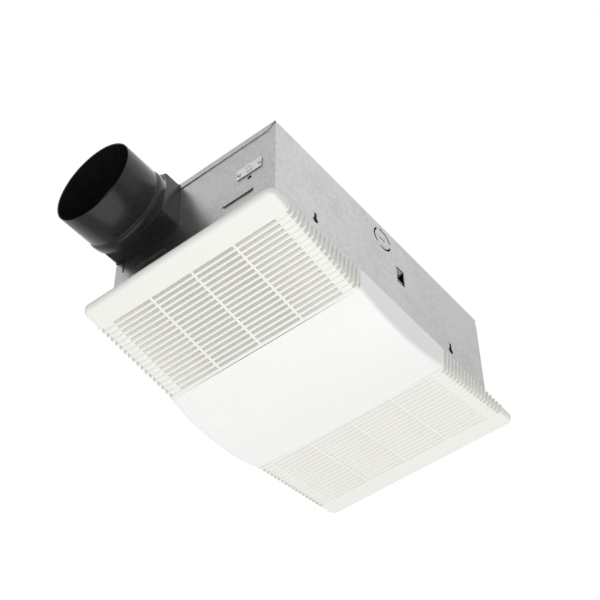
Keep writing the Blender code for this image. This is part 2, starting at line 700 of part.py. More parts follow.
def duct_rings():
    """Sections of the connector, from the spigot out to the mouth and back inside."""
    wall = -END_WALL
    back = wall - GAP
    front = wall - BLOCK_DEPTH

    def round_ring(distance, radius):
        return section_ring(wall - distance, radius, radius, radius, COLLAR_Z)

    def block_ring(x, inset, corner=BLOCK_CORNER):
        return section_ring(x, BLOCK_WIDTH / 2 - inset, BLOCK_HEIGHT / 2 - inset, corner, BLOCK_Z)

    def spigot_ring(x, inset):
        return section_ring(x, SPIGOT_WIDTH / 2 - inset, SPIGOT_HEIGHT / 2 - inset, SPIGOT_CORNER, BLOCK_Z)

    outer = [
        spigot_ring(wall + SPIGOT_DEPTH, 0),
        spigot_ring(back, 0),
        block_ring(back - STEP, 0),
        block_ring(front + BLOCK_EDGE, BLOCK_DRAFT),
        block_ring(front, BLOCK_EDGE),
        round_ring(BLOCK_DEPTH + NECK_LENGTH, COLLAR_R - NECK_STEP),
        round_ring(COLLAR_START - BEAD_PLACE - BEAD_HALF, BEAD_R - BEAD_DROP),
        round_ring(COLLAR_START - BEAD_PLACE, BEAD_R),
        round_ring(COLLAR_START - BEAD_PLACE + BEAD_HALF, BEAD_R - BEAD_DROP),
        *[round_ring(COLLAR_START - place, GROOVE_R) for place in GROOVE_PLACES],
        round_ring(COLLAR_START, COLLAR_R),
        round_ring(COLLAR_END, COLLAR_R),
    ]
    bore = GROOVE_R - DUCT_WALL
    inner = [
        round_ring(COLLAR_END, COLLAR_R - DUCT_WALL),
        round_ring(COLLAR_START + 2 * DUCT_WALL, COLLAR_R - DUCT_WALL),
        round_ring(COLLAR_START - DUCT_WALL, bore),
        round_ring(BLOCK_DEPTH + NECK_LENGTH, bore - DUCT_WALL / 4),
        block_ring(front + DUCT_WALL, BLOCK_WALL),
        block_ring(back - DUCT_WALL, BLOCK_WALL, SPIGOT_CORNER),
        spigot_ring(back - DUCT_WALL + STEP, DUCT_WALL),
        spigot_ring(wall + SPIGOT_DEPTH, DUCT_WALL),
    ]
    return outer + inner


def flap_axis():
    """Middle of the damper's pin."""
    top = BLOCK_Z + SPIGOT_HEIGHT / 2 - DUCT_WALL + FLAP_LAP
    return Vector((-END_WALL - GAP - DUCT_WALL - FLAP_SEAT - FLAP_THICK, DUCT_Y, top - PIN_R / 3))


def duct_connector(plastic):
    """Moulded connector: a block that lofts into a round collar with a bead and a groove."""
    connector = solid("duct_connector", lambda bm: add_loft(bm, duct_rings(), closed=True), plastic)
    axis = flap_axis()
    reach = BLOCK_WIDTH / 2 - PIN_END + RUNNING + GAP / 2

    def sockets(bm):
        for side in (-1, 1):
            middle = DUCT_Y + side * (reach - SOCKET_DEPTH / 2)
            add_cylinder(bm, (axis.x, middle, axis.z), PIN_R + RUNNING, SOCKET_DEPTH, "Y", 20)

    boolean(connector, sockets, "pin_sockets")
    shade_round(connector)
    return connector


def damper_flap(plastic):
    """Back-draught flap with its pin moulded along the top edge."""
    axis = flap_axis()
    half = SPIGOT_WIDTH / 2 - DUCT_WALL + FLAP_LAP
    low = BLOCK_Z - SPIGOT_HEIGHT / 2 + DUCT_WALL - FLAP_LAP
    outline = [(DUCT_Y - half, axis.z), (DUCT_Y + half, axis.z), (DUCT_Y + half, low + FLAP_CORNER),
               (DUCT_Y + half - FLAP_CORNER, low), (DUCT_Y - half + FLAP_CORNER, low),
               (DUCT_Y - half, low + FLAP_CORNER)]
    flap = solid("damper_flap", lambda bm: add_prism(bm, outline, axis.x, axis.x + FLAP_THICK, "X"), plastic)
    pin_length = BLOCK_WIDTH - 2 * PIN_END

    def pin(bm):
        add_cylinder(bm, axis, PIN_R, pin_length, "Y", 16)

    boolean(flap, pin, "flap_pin", "UNION")
    put_origin(flap, axis)
    return flap


# Air plates, scrolls, wheels and motors

def spiral(centre, start, sweep, radius, end_radius, steps=20):
    """Points of a scroll that widens anticlockwise."""
    points = []
    for i in range(steps + 1):
        share = i / steps
        angle = math.radians(start + sweep * share)
        r = radius + (end_radius - radius) * share
        points.append((centre[0] + r * math.cos(angle), centre[1] + r * math.sin(angle)))
    return points


def scroll(name, path, material):
    """Scroll: an upright band along a path under a flat lid."""
    low = PLATE_Z + SHEET + GAP
    bm = bmesh.new()
    lower = [bm.verts.new((x, y, low)) for x, y in path]
    upper = [bm.verts.new((x, y, SCROLL_TOP)) for x, y in path]
    for i in range(len(path) - 1):
        bm.faces.new((lower[i], lower[i + 1], upper[i + 1], upper[i]))
    mesh = bpy.data.meshes.new(name)
    bm.to_mesh(mesh)
    bm.free()
    band = new_object(name, mesh, material)
    wall = band.modifiers.new("wall", "SOLIDIFY")
    wall.thickness = SCROLL_WALL
    wall.offset = 0.0
    wall.use_even_offset = True
    boolean(band, lambda bm: add_prism(bm, path, SCROLL_TOP - SCROLL_WALL, SCROLL_TOP + 0.5 * MM, "Z"),
            name + "_lid", "UNION")
    return band


def fan_scroll_path():
    """Path of the exhaust scroll, from the duct opening round the wheel and back."""
    start_x = -END_WALL + SHEET + 5 * MM
    outer_y = DUCT_Y + SPIGOT_WIDTH / 2 + 1 * MM
    inner_y = DUCT_Y - SPIGOT_WIDTH / 2 - 1 * MM
    cutoff = FAN_WHEEL_R + TONGUE_ROOM
    tongue = 180 - math.degrees(math.asin((inner_y - FAN_Y) / cutoff))
    curl = spiral((FAN_X, FAN_Y), tongue, 450 - tongue, cutoff, outer_y - FAN_Y)
    return [(start_x, inner_y), *curl, (start_x, outer_y)]


def heater_scroll_path():
    """Path of the heater scroll, closed round the outlet in its plate."""
    cutoff = HEAT_WHEEL_R + TONGUE_ROOM
    low_x, high_x = HEAT_OUT_X
    tongue = math.degrees(math.acos((low_x - HEAT_X) / cutoff))
    curl = spiral((HEAT_X, HEAT_Y), tongue, 360 - tongue, cutoff, high_x - HEAT_X)
    far_y = HEAT_OUT_Y[1]
    return [(low_x, far_y), *curl, (high_x, far_y), (low_x + 2 * MM, far_y)]


def air_plate(name, side, centre, inlet_r, material, outlet=None):
    """Sheet across one end of the housing, with a raised inlet ring and end flange."""
    end = side * (END_WALL - SHEET - GAP)
    near = side * MIDDLE_GAP
    half_y = SIDE_WALL - SHEET - GAP
    low, high = min(end, near), max(end, near)

    def sheet(bm):
        add_box(bm, (low, -half_y, PLATE_Z), (high, half_y, PLATE_Z + SHEET))

    def flanges(bm):
        inner = end - side * SHEET
        add_box(bm, (min(inner, end), -half_y + 12 * MM, PLATE_Z - PLATE_FLANGE),
                (max(inner, end), half_y - 12 * MM, PLATE_Z + SHEET / 2))

    def inlet(bm):
        add_cylinder(bm, (*centre, PLATE_Z), inlet_r, 8 * OVER, "Z", 30)

    plate = solid(name, sheet, material)
    boolean(plate, flanges, name + "_flange", "UNION")
    rise = INLET_RING - 1 * MM
    profile = [(inlet_r - 1 * MM, rise), (inlet_r + 3 * MM, 0.5 * SHEET), (inlet_r + 1 * MM, -0.2 * MM),
               (inlet_r - 2 * MM, rise)]
    ring = turned(name + "_ring", profile, (*centre, PLATE_Z), sides=30)
    boolean(plate, inlet, name + "_inlet")
    join = plate.modifiers.new("ring", "BOOLEAN")
    join.operation = "UNION"
    join.object = ring
    if outlet:
        boolean(plate, outlet, name + "_outlet")
    return plate


def heater_outlet(bm):
    """Hole in the heater's air plate over its element."""
    low_x, high_x = inset_range(HEAT_OUT_X, OUTLET_INSET)
    low_y, high_y = inset_range(HEAT_OUT_Y, OUTLET_INSET)
    add_box(bm, (low_x, low_y, PLATE_Z - OVER), (high_x, high_y, PLATE_Z + 2 * OVER))


def air_plate_screw(name, side, y, material):
    """Screw through the end flange of an air plate, with its head inside the housing."""
    inner = side * (END_WALL - SHEET - GAP - SHEET - GAP)
    centre = (inner - side * SCREW_HEAD_H / 2, y, PLATE_Z - PLATE_FLANGE / 2)
    return solid(name, lambda bm: add_cylinder(bm, centre, PLATE_SCREW_R, SCREW_HEAD_H, "X", 16), material)


def blade_outline(inner_r, outer_r, angle, steps=2):
    """Forward-curved blade as a bent strip between two radii."""
    lean = math.radians(BLADE_LEAN)
    front, back = [], []
    for i in range(steps + 1):
        share = i / steps
        r = inner_r + (outer_r - inner_r) * share
        turn = angle + lean * share * share
        half = BLADE_THICK / 2 / r
        front.append((r * math.cos(turn + half), r * math.sin(turn + half)))
        back.append((r * math.cos(turn - half), r * math.sin(turn - half)))
    return front + back[::-1]


def blower_wheel(name, centre, radius, height, blades, material):
    """Squirrel-cage wheel: back disc with a hub, curved blades and an inlet ring."""
    low = PLATE_Z + WHEEL_LIFT
    top = low + height
    inner = radius * BLADE_INNER_SHARE
    spokes = [(SHAFT_R + GAP, -HUB_LENGTH), (HUB_R, -HUB_LENGTH), (HUB_R, -DISC_THICK), (radius, -DISC_THICK),
              (radius, 0), (SHAFT_R + GAP, 0)]
    wheel = turned(name, spokes, (*centre, top), material, 32)

    def blade_set(bm):
        for k in range(blades):
            outline = blade_outline(inner, radius - BLADE_INSET, 2 * math.pi * k / blades)
            add_prism(bm, outline, low + BAND_HEIGHT / 2, top - DISC_THICK / 2, "Z")
        bmesh.ops.translate(bm, verts=bm.verts, vec=(*centre, 0))

    boolean(wheel, blade_set, name + "_blades", "UNION")
    under, over = BAND_INSET
    band = [(inner + under, 0), (radius, 0), (radius, BAND_HEIGHT), (inner + over, BAND_HEIGHT)]
    ring = turned(name + "_band", band, (*centre, low), sides=32)
    join = wheel.modifiers.new("band", "BOOLEAN")
    join.operation = "UNION"
    join.object = ring
    return wheel


def motor_shaft(name, centre, height, material):
    """Shaft with the short rotor that turns in the motor's bore."""
    low = CORE_Z - BEARING_H - SHAFT_STUB
    top = PLATE_Z + WHEEL_LIFT + height + SHAFT_END
    x, y = centre
    shaft = solid(name, lambda bm: add_cylinder(bm, (x, y, (low + top) / 2), SHAFT_R, top - low, "Z", 20),
                  material)

    def rotor(bm):
        add_cylinder(bm, (x, y, CORE_Z + CORE_THICK / 2), ROTOR_R, CORE_THICK, "Z", 28)

    boolean(shaft, rotor, name + "_rotor", "UNION")
    put_origin(shaft, (x, y, PLATE_Z))
    return shaft


def motor_core(name, centre, material):
    """Lamination stack with the rotor bore and the window for the coil."""
    x, y = centre
    low, high = CORE_Z, CORE_Z + CORE_THICK
    outline = rounded_rectangle(CORE_HALF_X, (CORE_FRONT + CORE_BACK) / 2, CORE_CORNER, 3,
                                (x, y + (CORE_FRONT - CORE_BACK) / 2))
    core = solid(name, lambda bm: add_prism(bm, outline, low, high, "Z"), material)

    def bore(bm):
        add_cylinder(bm, (x, y, CORE_Z + CORE_THICK / 2), BORE_R, CORE_THICK + 2 * OVER, "Z", 28)
        add_box(bm, (x - WINDOW_HALF, y - WINDOW_FAR, low - OVER),
                (x + WINDOW_HALF, y - WINDOW_NEAR, high + OVER))

    boolean(core, bore, name + "_bore")
    return core


def motor_coil(name, centre, material):
    """Winding round the back leg of the stack, wider than it is long."""
    x, y = centre
    half_x = WINDOW_HALF - COIL_END_ROOM
    leg_y = y - (WINDOW_FAR + CORE_BACK) / 2
    leg_half = (CORE_BACK - WINDOW_FAR) / 2 + GAP
    leg_z = CORE_Z + CORE_THICK / 2
    leg_half_z = CORE_THICK / 2 + GAP
    outer = rounded_rectangle(leg_half + COIL_BUILD, leg_half_z + COIL_BUILD, COIL_CORNER, 3, (leg_y, leg_z))
    coil = solid(name, lambda bm: add_prism(bm, outer, x - half_x, x + half_x, "X"), material)

    def leg(bm):
        add_box(bm, (x - half_x - OVER, leg_y - leg_half, leg_z - leg_half_z),
                (x + half_x + OVER, leg_y + leg_half, leg_z + leg_half_z))

    boolean(coil, leg, name + "_leg")
    return coil


def bearing_bracket(name, centre, below, material):
    """Pressed strap over one face of the stack, with the bearing cup at its middle."""
    x, y = centre
    side = -1 if below else 1
    face = CORE_Z - GAP if below else CORE_Z + CORE_THICK + GAP
    far = face + side * (BEARING_H + STRAP_STEP)
    step = face + side * STRAP_STEP
    half = CORE_HALF_X
    under = [(-half, face), (-half + STRAP_FOOT, face), (-half + STRAP_FOOT, step)]
    bend = -half + STRAP_FOOT - STRAP
    over = [(bend, step + side * STRAP), (bend, face + side * STRAP), (-half, face + side * STRAP)]
    left = under + [(-u, z) for u, z in under[::-1]]
    right = [(-u, z) for u, z in over[::-1]] + over
    outline = [(x + u, z) for u, z in left + right]
    bracket = solid(name, lambda bm: add_prism(bm, outline, y - STRAP_WIDTH / 2, y + STRAP_WIDTH / 2, "Y"),
                    material)
    middle = (step + side * 0.4 * MM + far) / 2

    def cup(bm):
        add_cylinder(bm, (x, y, middle), BEARING_R, abs(far - step), "Z", 24)

    def hole(bm):
        add_cylinder(bm, (x, y, middle), SHAFT_R + RUNNING, 4 * BEARING_H, "Z", 20)

    boolean(bracket, cup, name + "_cup", "UNION")
    boolean(bracket, hole, name + "_hole")
    return bracket


def motor_mount(name, centre, inlet_r, material):
    """Bridge across the inlet that carries the stack, open round the upper bearing."""
    x, y = centre
    top = PLATE_Z - GAP
    low = CORE_Z + CORE_THICK + GAP
    reach = inlet_r + MOUNT_FOOT
    rise = inlet_r
    foot = CORE_HALF_X - STRAP / 3
    skew = MOUNT_SKEW
    upper = [(-reach, top), (-rise + skew, top), (-foot + skew, low + STRAP), (foot - skew, low + STRAP),
             (rise - skew, top), (reach, top)]
    lower = [(reach, top - STRAP), (rise, top - STRAP), (foot, low), (-foot, low), (-rise, top - STRAP),
             (-reach, top - STRAP)]
    outline = [(x + u, z) for u, z in upper + lower]
    front, back = y + CORE_FRONT - 1 * MM, y - CORE_FRONT + 2.5 * MM
    mount = solid(name, lambda bm: add_prism(bm, outline, back, front, "Y"), material)
    clear = CORE_HALF_X + 2 * MM
    half_y = STRAP_WIDTH / 2 + 0.5 * MM

    def opening(bm):
        add_box(bm, (x - clear, y - half_y, low - OVER), (x + clear, y + half_y, low + 2 * BEARING_H))

    boolean(mount, opening, name + "_opening")
    return mount


# Heating element

def element_duct(steel):
    """Open sheet box that hangs under the heater outlet and holds the element."""
    low_x, high_x = inset_range(HEAT_OUT_X, DUCT_BOX_INSET)
    low_y, high_y = inset_range(HEAT_OUT_Y, DUCT_BOX_INSET)
    top = PLATE_Z - GAP

    def outside(bm):
        add_box(bm, (low_x, low_y, DUCT_BOX_LOW), (high_x, high_y, top))

    def flange(bm):
        add_box(bm, (low_x - DUCT_BOX_FLANGE, low_y - DUCT_BOX_FLANGE, top - SHEET),
                (high_x + DUCT_BOX_FLANGE, high_y + DUCT_BOX_FLANGE, top))

    def inside(bm):
        add_box(bm, (low_x + SHEET, low_y + SHEET, DUCT_BOX_LOW - OVER),
                (high_x - SHEET, high_y - SHEET, top + OVER))

    duct = solid("element_duct", outside, steel)
    boolean(duct, flange, "element_flange", "UNION")
    boolean(duct, inside, "element_inside")
    return duct


def coil_rows():
    """Places of the coil runs across the element duct."""
    low_x, high_x = HEAT_OUT_X
    width = high_x - low_x
    return [low_x + width * (k + 1) / (COIL_RUNS + 1) for k in range(COIL_RUNS)]


def element_frame(mica):
    """Two mica boards across the duct with a hole for each run of the coil."""
    low_x, high_x = inset_range(HEAT_OUT_X, DUCT_BOX_INSET + BOARD_ROOM)
    low_y, high_y = inset_range(HEAT_OUT_Y, DUCT_BOX_INSET + BOARD_ROOM)
    z = element_z()

    def boards(bm):
        for y in element_boards():
            add_box(bm, (low_x, y - MICA / 2, z - BOARD_HALF), (high_x, y + MICA / 2, z + BOARD_HALF))

    def holes(bm):
        for x in coil_rows():
            for y in element_boards():
                add_cylinder(bm, (x, y, z), COIL_WIRE_R + GAP + 0.4 * MM, 4 * MM, "Y", 8)

    def rods(bm):
        for x in inset_range((low_x, high_x), ROD_INSET):
            add_cylinder(bm, (x, (low_y + high_y) / 2, z - ROD_DROP), ROD_R, high_y - low_y, "Y", 12)

    frame = solid("element_frame", boards, mica)
    boolean(frame, rods, "element_rods", "UNION")
    boolean(frame, holes, "element_holes")
    return frame


def element_z():
    """Height of the heating coil."""
    return (DUCT_BOX_LOW + PLATE_Z) / 2


def element_boards():
    """Places of the two mica boards along the duct."""
    return inset_range(HEAT_OUT_Y, BOARD_INSET)


def run_points(x, start_y, end_y, z):
    """One run of resistance coil, straight through both boards and curled between them."""
    direction = 1 if end_y > start_y else -1
    lead = 3.2 * MM
    first, last = start_y + direction * lead, end_y - direction * lead
    points = [(x, start_y - direction * 2.2 * MM, z), (x, start_y + direction * 1.2 * MM, z)]
    per_turn = 8
    count = COIL_TURNS * per_turn
    for i in range(count + 1):
        share = i / count
        angle = 2 * math.pi * COIL_TURNS * share
        y = first + (last - first) * share
        points.append((x + COIL_R * math.sin(angle), y, z - COIL_R * math.cos(angle)))
    points += [(x, end_y - direction * 1.2 * MM, z), (x, end_y + direction * 2.2 * MM, z)]
    return points


def heating_coil(nichrome):
    """Resistance wire in parallel runs, joined end to end past the boards."""
    near, far = element_boards()
    points = []
    for k, x in enumerate(coil_rows()):
        run = run_points(x, near, far, element_z())
        points += run if k % 2 == 0 else run[::-1]
    print("heating coil, least gap to itself in mm: %.2f" % (least_gap(points, COIL_WIRE_R, 4) / MM))
    return wire("heating_coil", points, COIL_WIRE_R, nichrome)


def thermal_cutout(material):
    """Disc thermostat on the outside of the element duct, with its two tabs."""
    x = HEAT_OUT_X[0] + DUCT_BOX_INSET - GAP
    y = (HEAT_OUT_Y[0] + HEAT_OUT_Y[1]) / 2
    z = element_z()

    def body(bm):
        add_cylinder(bm, (x - CUTOUT_HEIGHT / 2, y, z), CUTOUT_R, CUTOUT_HEIGHT, "X", 24)

    def tabs(bm):
        for side in (-1, 1):
            middle = y + side * CUTOUT_R / 2
            add_box(bm, (x - 2 * CUTOUT_HEIGHT, middle - TAB_HALF[0], z - TAB_HALF[1]),
                    (x - CUTOUT_HEIGHT + SHEET, middle + TAB_HALF[0], z + TAB_HALF[1]))

    cutout = solid("thermal_cutout", body, material)
    boolean(cutout, tabs, "cutout_tabs", "UNION")
    return cutout


# Light

def lamp_reflector(material):
    """Drafted tray that hangs between the two fans, open to the lens."""
    top_x, top_y = TRAY_HALF_X - TRAY_DRAFT, TRAY_HALF_Y - TRAY_DRAFT / 2
    drop, inset = TRAY_SHOULDER
    rings = []
    for half_x, half_y, z in ((TRAY_HALF_X, TRAY_HALF_Y, TRAY_LOW), (top_x, top_y, TRAY_TOP - drop),
                              (top_x - inset, top_y - inset, TRAY_TOP)):
        rings.append([(x, y, z) for x, y in rounded_rectangle(half_x, half_y, TRAY_CORNER)])
    bm = bmesh.new()
    add_loft(bm, rings)
    bmesh.ops.recalc_face_normals(bm, faces=bm.faces)
    open_face = [face for face in bm.faces if face.calc_center_median().z < TRAY_LOW + MM / 2]
    bmesh.ops.delete(bm, geom=open_face, context="FACES_ONLY")
    mesh = bpy.data.meshes.new("lamp_reflector")
    bm.to_mesh(mesh)
    bm.free()
    tray = new_object("lamp_reflector", mesh, material)
    wall = tray.modifiers.new("sheet", "SOLIDIFY")
    wall.thickness = TRAY_SHEET
    wall.offset = -1.0
    wall.use_even_offset = True

    def hangers(bm):
        low = TRAY_LOW + HANGER_LIFT
        for x in HANGER_PLACES:
            for side in (-1, 1):
                near, far = sorted((side * (TRAY_HALF_Y - HANGER_ROOT), side * (SIDE_WALL - SHEET - GAP)))
                add_box(bm, (x - HANGER_HALF, near, low), (x + HANGER_HALF, far, low + SHEET))

    boolean(tray, hangers, "tray_hangers", "UNION")
    return tray


def socket_start():
    """Place along Y where the lamp socket's back meets the tray's end wall."""
    drop = TRAY_DRAFT / 2 * (BULB_Z + SOCKET_R - TRAY_LOW) / (TRAY_TOP - TRAY_SHOULDER[0] - TRAY_LOW)
    return -(TRAY_HALF_Y - drop - TRAY_SHEET - SOCKET_ROOM)


def lamp_socket(material):
    """Porcelain socket with an open mouth for the bulb's cap."""
    start = socket_start()
    narrow, slant, wide = SOCKET_BASE
    mouth, floor = SOCKET_LIP
    profile = [(0, 0), (SOCKET_R - narrow, 0), (SOCKET_R - narrow, slant), (SOCKET_R, wide),
               (SOCKET_R, SOCKET_LENGTH), (CAP_R + mouth, SOCKET_LENGTH),
               (CAP_R + floor, SOCKET_FLOOR), (0, SOCKET_FLOOR)]
    socket = turned("lamp_socket", profile, (0, start, BULB_Z), material, 24, "Y")
    shade_round(socket)
    return socket


def lamp_cap(material):
    """Screw cap of the bulb with rolled threads and a centre contact."""
    start = socket_start() + SOCKET_FLOOR + GAP
    profile = [(0, 0), *CAP_CONTACT]
    for k in range(CAP_THREADS):
        base = CAP_THREAD_START + k * CAP_THREAD_PITCH
        profile += [(CAP_R - CAP_THREAD_DEPTH, base), (CAP_R, base + CAP_THREAD_PITCH / 2)]
    profile += [(CAP_R, CAP_LENGTH - CAP_EDGE), (CAP_R - CAP_ROLL, CAP_LENGTH), (0, CAP_LENGTH)]
    cap = turned("lamp_cap", profile, (0, start, BULB_Z), material, 18, "Y")
    shade_round(cap)
    return cap


def lamp_bulb(glass):
    """Pear-shaped glass envelope."""
    start = socket_start() + SOCKET_FLOOR + GAP + CAP_LENGTH + GAP
    profile = [(0, 0), (CAP_R - CAP_ROLL, 0), *BULB_NECK]
    centre = BULB_LENGTH - BULB_R
    profile += [(r, centre + h) for r, h in arc((0, 0), BULB_R, -15, 90, 7)][:-1] + [(0, BULB_LENGTH)]
    bulb = turned("lamp_bulb", profile, (0, start, BULB_Z), glass, 24, "Y")
    shade_round(bulb)
    return bulb


# Wiring compartment

def wiring_cover(steel):
    """Sheet cover that closes off the corner behind the knockout and the lanced window."""
    low_x, high_x = WIRING_X
    wall_y = -SIDE_WALL + SHEET + GAP
    far_y = wall_y + WIRING_Y

    def outside(bm):
        add_box(bm, (low_x, wall_y, WIRING_LOW), (high_x, far_y, WIRING_TOP))

    def inside(bm):
        add_box(bm, (low_x + SHEET, wall_y - OVER, WIRING_LOW + SHEET),
                (high_x - SHEET, far_y - SHEET, WIRING_TOP - SHEET))

    def windows(bm):
        half_x, half_z = PLUG_HALF[0] + PLUG_ROOM, PLUG_HALF[1] + PLUG_ROOM
        for x in receptacle_places():
            add_box(bm, (x - half_x, far_y - 2 * OVER, receptacle_z() - half_z),
                    (x + half_x, far_y + 2 * OVER, receptacle_z() + half_z))

    cover = solid("wiring_cover", outside, steel)
    boolean(cover, inside, "wiring_inside")
    boolean(cover, windows, "receptacle_windows")
    return cover


def receptacle_places():
    """Places of the three plug receptacles along the cover."""
    low_x, high_x = WIRING_X
    step = (high_x - low_x) / (PLUG_COUNT + 1)
    return [low_x + step * (k + 1) for k in range(PLUG_COUNT)]


def receptacle_z():
    """Height of the receptacles."""
    return (WIRING_LOW + WIRING_TOP) / 2


def plug_receptacle(name, x, plastic):
    """Snap-in receptacle with a bezel and three blade slots."""
    far_y = -SIDE_WALL + SHEET + GAP + WIRING_Y
    z = receptacle_z()

    def block(bm, middle, half, near, far):
        add_box(bm, (middle - half[0], near, z - half[1]), (middle + half[0], far, z + half[1]))

    def body(bm):
        block(bm, x, PLUG_HALF, far_y - PLUG_DEPTH, far_y + BEZEL_THICK / 2)

    def bezel(bm):
        block(bm, x, BEZEL_HALF, far_y + GAP, far_y + BEZEL_THICK)

    def slots(bm):
        for k in (-1, 0, 1):
            block(bm, x + k * BLADE_PITCH, BLADE_HALF, far_y - BLADE_DEPTH, far_y + 2 * OVER)

    receptacle = solid(name, body, plastic)
    boolean(receptacle, bezel, name + "_bezel", "UNION")
    boolean(receptacle, slots, name + "_slots")
    return receptacle


def ground_screw(material):
    """Hex head of the ground screw, under the roof of the wiring cover."""
    x = WIRING_X[0] + GROUND_SCREW_PLACE
    y = -SIDE_WALL + SHEET + GAP + WIRING_Y / 2
    centre = (x, y, WIRING_TOP - SHEET - GAP - GROUND_SCREW_H / 2)

    def head(bm):
        add_cylinder(bm, centre, GROUND_SCREW_R, GROUND_SCREW_H, "Z", 6)

    return solid("ground_screw", head, material)


# Grille, lens and springs

def grille_section(x, extra):
    """Closed outline across the grille at a place along X, with the ribs' extra width."""
    inset = GRILLE_X - abs(x)
    half = GRILLE_Y + extra
    depth = face_depth(x)
    if inset < PLAN_CORNER:
        half -= PLAN_CORNER - math.sqrt(PLAN_CORNER ** 2 - (PLAN_CORNER - inset) ** 2)
    if inset < END_ROUND:
        depth -= END_ROUND - math.sqrt(END_ROUND ** 2 - (END_ROUND - inset) ** 2)
    low = half - SKIRT_LEAN * depth / face_depth(LENS_HALF)
    radius = min(GRILLE_FOLD, depth / 2)
    right = arc((low - radius, -depth + radius), radius, -90, 0, 3)
    left = [(-y, z) for y, z in right[::-1]]
    return [(x, y, z) for y, z in [(-half, 0.0)] + left + right + [(half, 0.0)]]


def grille_loft(bm):
    """Solid outside of one louvred end, with its rounded end and its band of ribs."""
    steps = [END_ROUND * (1 - math.cos(math.radians(a))) for a in (3, 25, 50, 70, 90)] + [PLAN_CORNER]
    band = SLOT_FIRST + SLOT_PITCH / 2 + FIN_WIDTH / 2
    sections = [grille_section(-GRILLE_X + inset, 0.0) for inset in steps]
    sections += [grille_section(-band, 0.0), grille_section(-band + MERGE * 10, RIB_PROUD)]
    sections += [grille_section(-LENS_HALF - GAP, RIB_PROUD)]
    add_loft(bm, sections)


def grille_hollow(bm):
    """Space above the face: shallow over the louvres, deeper over the plain end."""
    start = -GRILLE_X + 2 * FACE_WALL
    louvre = -SLOT_FIRST - SLOT_WIDTH
    end = -LENS_HALF - GAP
    wall = end - FACE_WALL

    def face(x, lift):
        return (x, -face_depth(x) + lift)

    outline = [face(start, FACE_WALL), face(louvre, FACE_WALL), face(louvre, FIN_DEPTH), face(wall, FIN_DEPTH),
               (wall, -RIM_DEPTH), (end + OVER, -RIM_DEPTH), (end + OVER, OVER), (start, OVER)]
    half = GROOVE_FLOOR - FACE_WALL
    add_prism(bm, outline, -half, half, "Y")


def side_rails(bm):
    """Bars along both long edges that join the louvred ends behind the lens."""
    inner = GROOVE_FLOOR - FACE_WALL - RAIL_INSET
    start = -LENS_HALF - FACE_WALL - RAIL_ROOT
    for side in (-1, 1):
        near, far = sorted((side * inner, side * (inner + RAIL_WIDTH)))
        add_box(bm, (start, near, -RAIL_HEIGHT), (OVER, far, -RAIL_TOP))


def slot_cutters(bm):
    """Four columns of slots between the fins."""
    edges = [-SLOT_HALF]
    for k in (-1, 0, 1):
        edges += [k * RIB_SPACING - RIB_WIDTH / 2, k * RIB_SPACING + RIB_WIDTH / 2]
    edges.append(SLOT_HALF)
    for i in range(SLOT_COUNT):
        x = -SLOT_FIRST + SLOT_PITCH * i
        for low, high in zip(edges[::2], edges[1::2]):
            add_box(bm, (x - SLOT_WIDTH / 2, low, -LENS_DEPTH), (x + SLOT_WIDTH / 2, high, OVER * 2))


def groove_cutters(bm):
    """Grooves that carry each slot up the skirt and leave ribs between them."""
    half = (SLOT_PITCH - FIN_WIDTH) / 2
    for i in range(SLOT_COUNT):
        x = -SLOT_FIRST + SLOT_PITCH * i
        for side in (-1, 1):
            near, far = sorted((side * GROOVE_FLOOR, side * (GRILLE_Y + RIB_PROUD + OVER)))
            add_box(bm, (x - half, near, -LENS_DEPTH), (x + half, far, OVER))


def spring_lug(bm):
    """Lug and peg on the middle rib that hold the spring's coil."""
    x = -SPRING_X + SPRING_TURNS * SPRING_PITCH / 2 + LUG_ROOM
    low = -face_depth(x) + FIN_DEPTH - FACE_WALL / 4
    add_box(bm, (x, -LUG_HALF, low), (x + LUG_THICK, LUG_HALF, SPRING_Z + LUG_HALF))


def spring_peg(bm):
    """Peg through the spring's coil."""
    root = -SPRING_X + SPRING_TURNS * SPRING_PITCH / 2 + LUG_ROOM + LUG_THICK / 2
    length = SPRING_TURNS * SPRING_PITCH + 2 * PEG_END
    radius = SPRING_COIL_R - SPRING_WIRE_R - PEG_ROOM
    add_cylinder(bm, (root - length / 2, 0, SPRING_Z), radius, length, "X", 14)


def grille_frame(plastic):
    """Moulded grille: two louvred ends, side rails and spring lugs, mirrored across the lens."""
    frame = solid("grille_frame", grille_loft, plastic)
    boolean(frame, grille_hollow, "grille_hollow")
    boolean(frame, side_rails, "side_rails", "UNION")
    boolean(frame, slot_cutters, "slots")
    boolean(frame, groove_cutters, "grooves")
    boolean(frame, spring_lug, "spring_lug", "UNION")
    boolean(frame, spring_peg, "spring_peg", "UNION")
    mirror = frame.modifiers.new("mirror", "MIRROR")
    mirror.use_bisect_axis = (True, False, False)
    mirror.use_bisect_flip_axis = (True, False, False)
    mirror.use_clip = True
    mirror.merge_threshold = MERGE
    return frame


def lens_depth(x):
    """Depth of the lens along its length, deepest in the middle."""
    share = x / LENS_HALF
    return LENS_DEPTH - (LENS_DEPTH - LENS_EDGE_DEPTH) * share * share


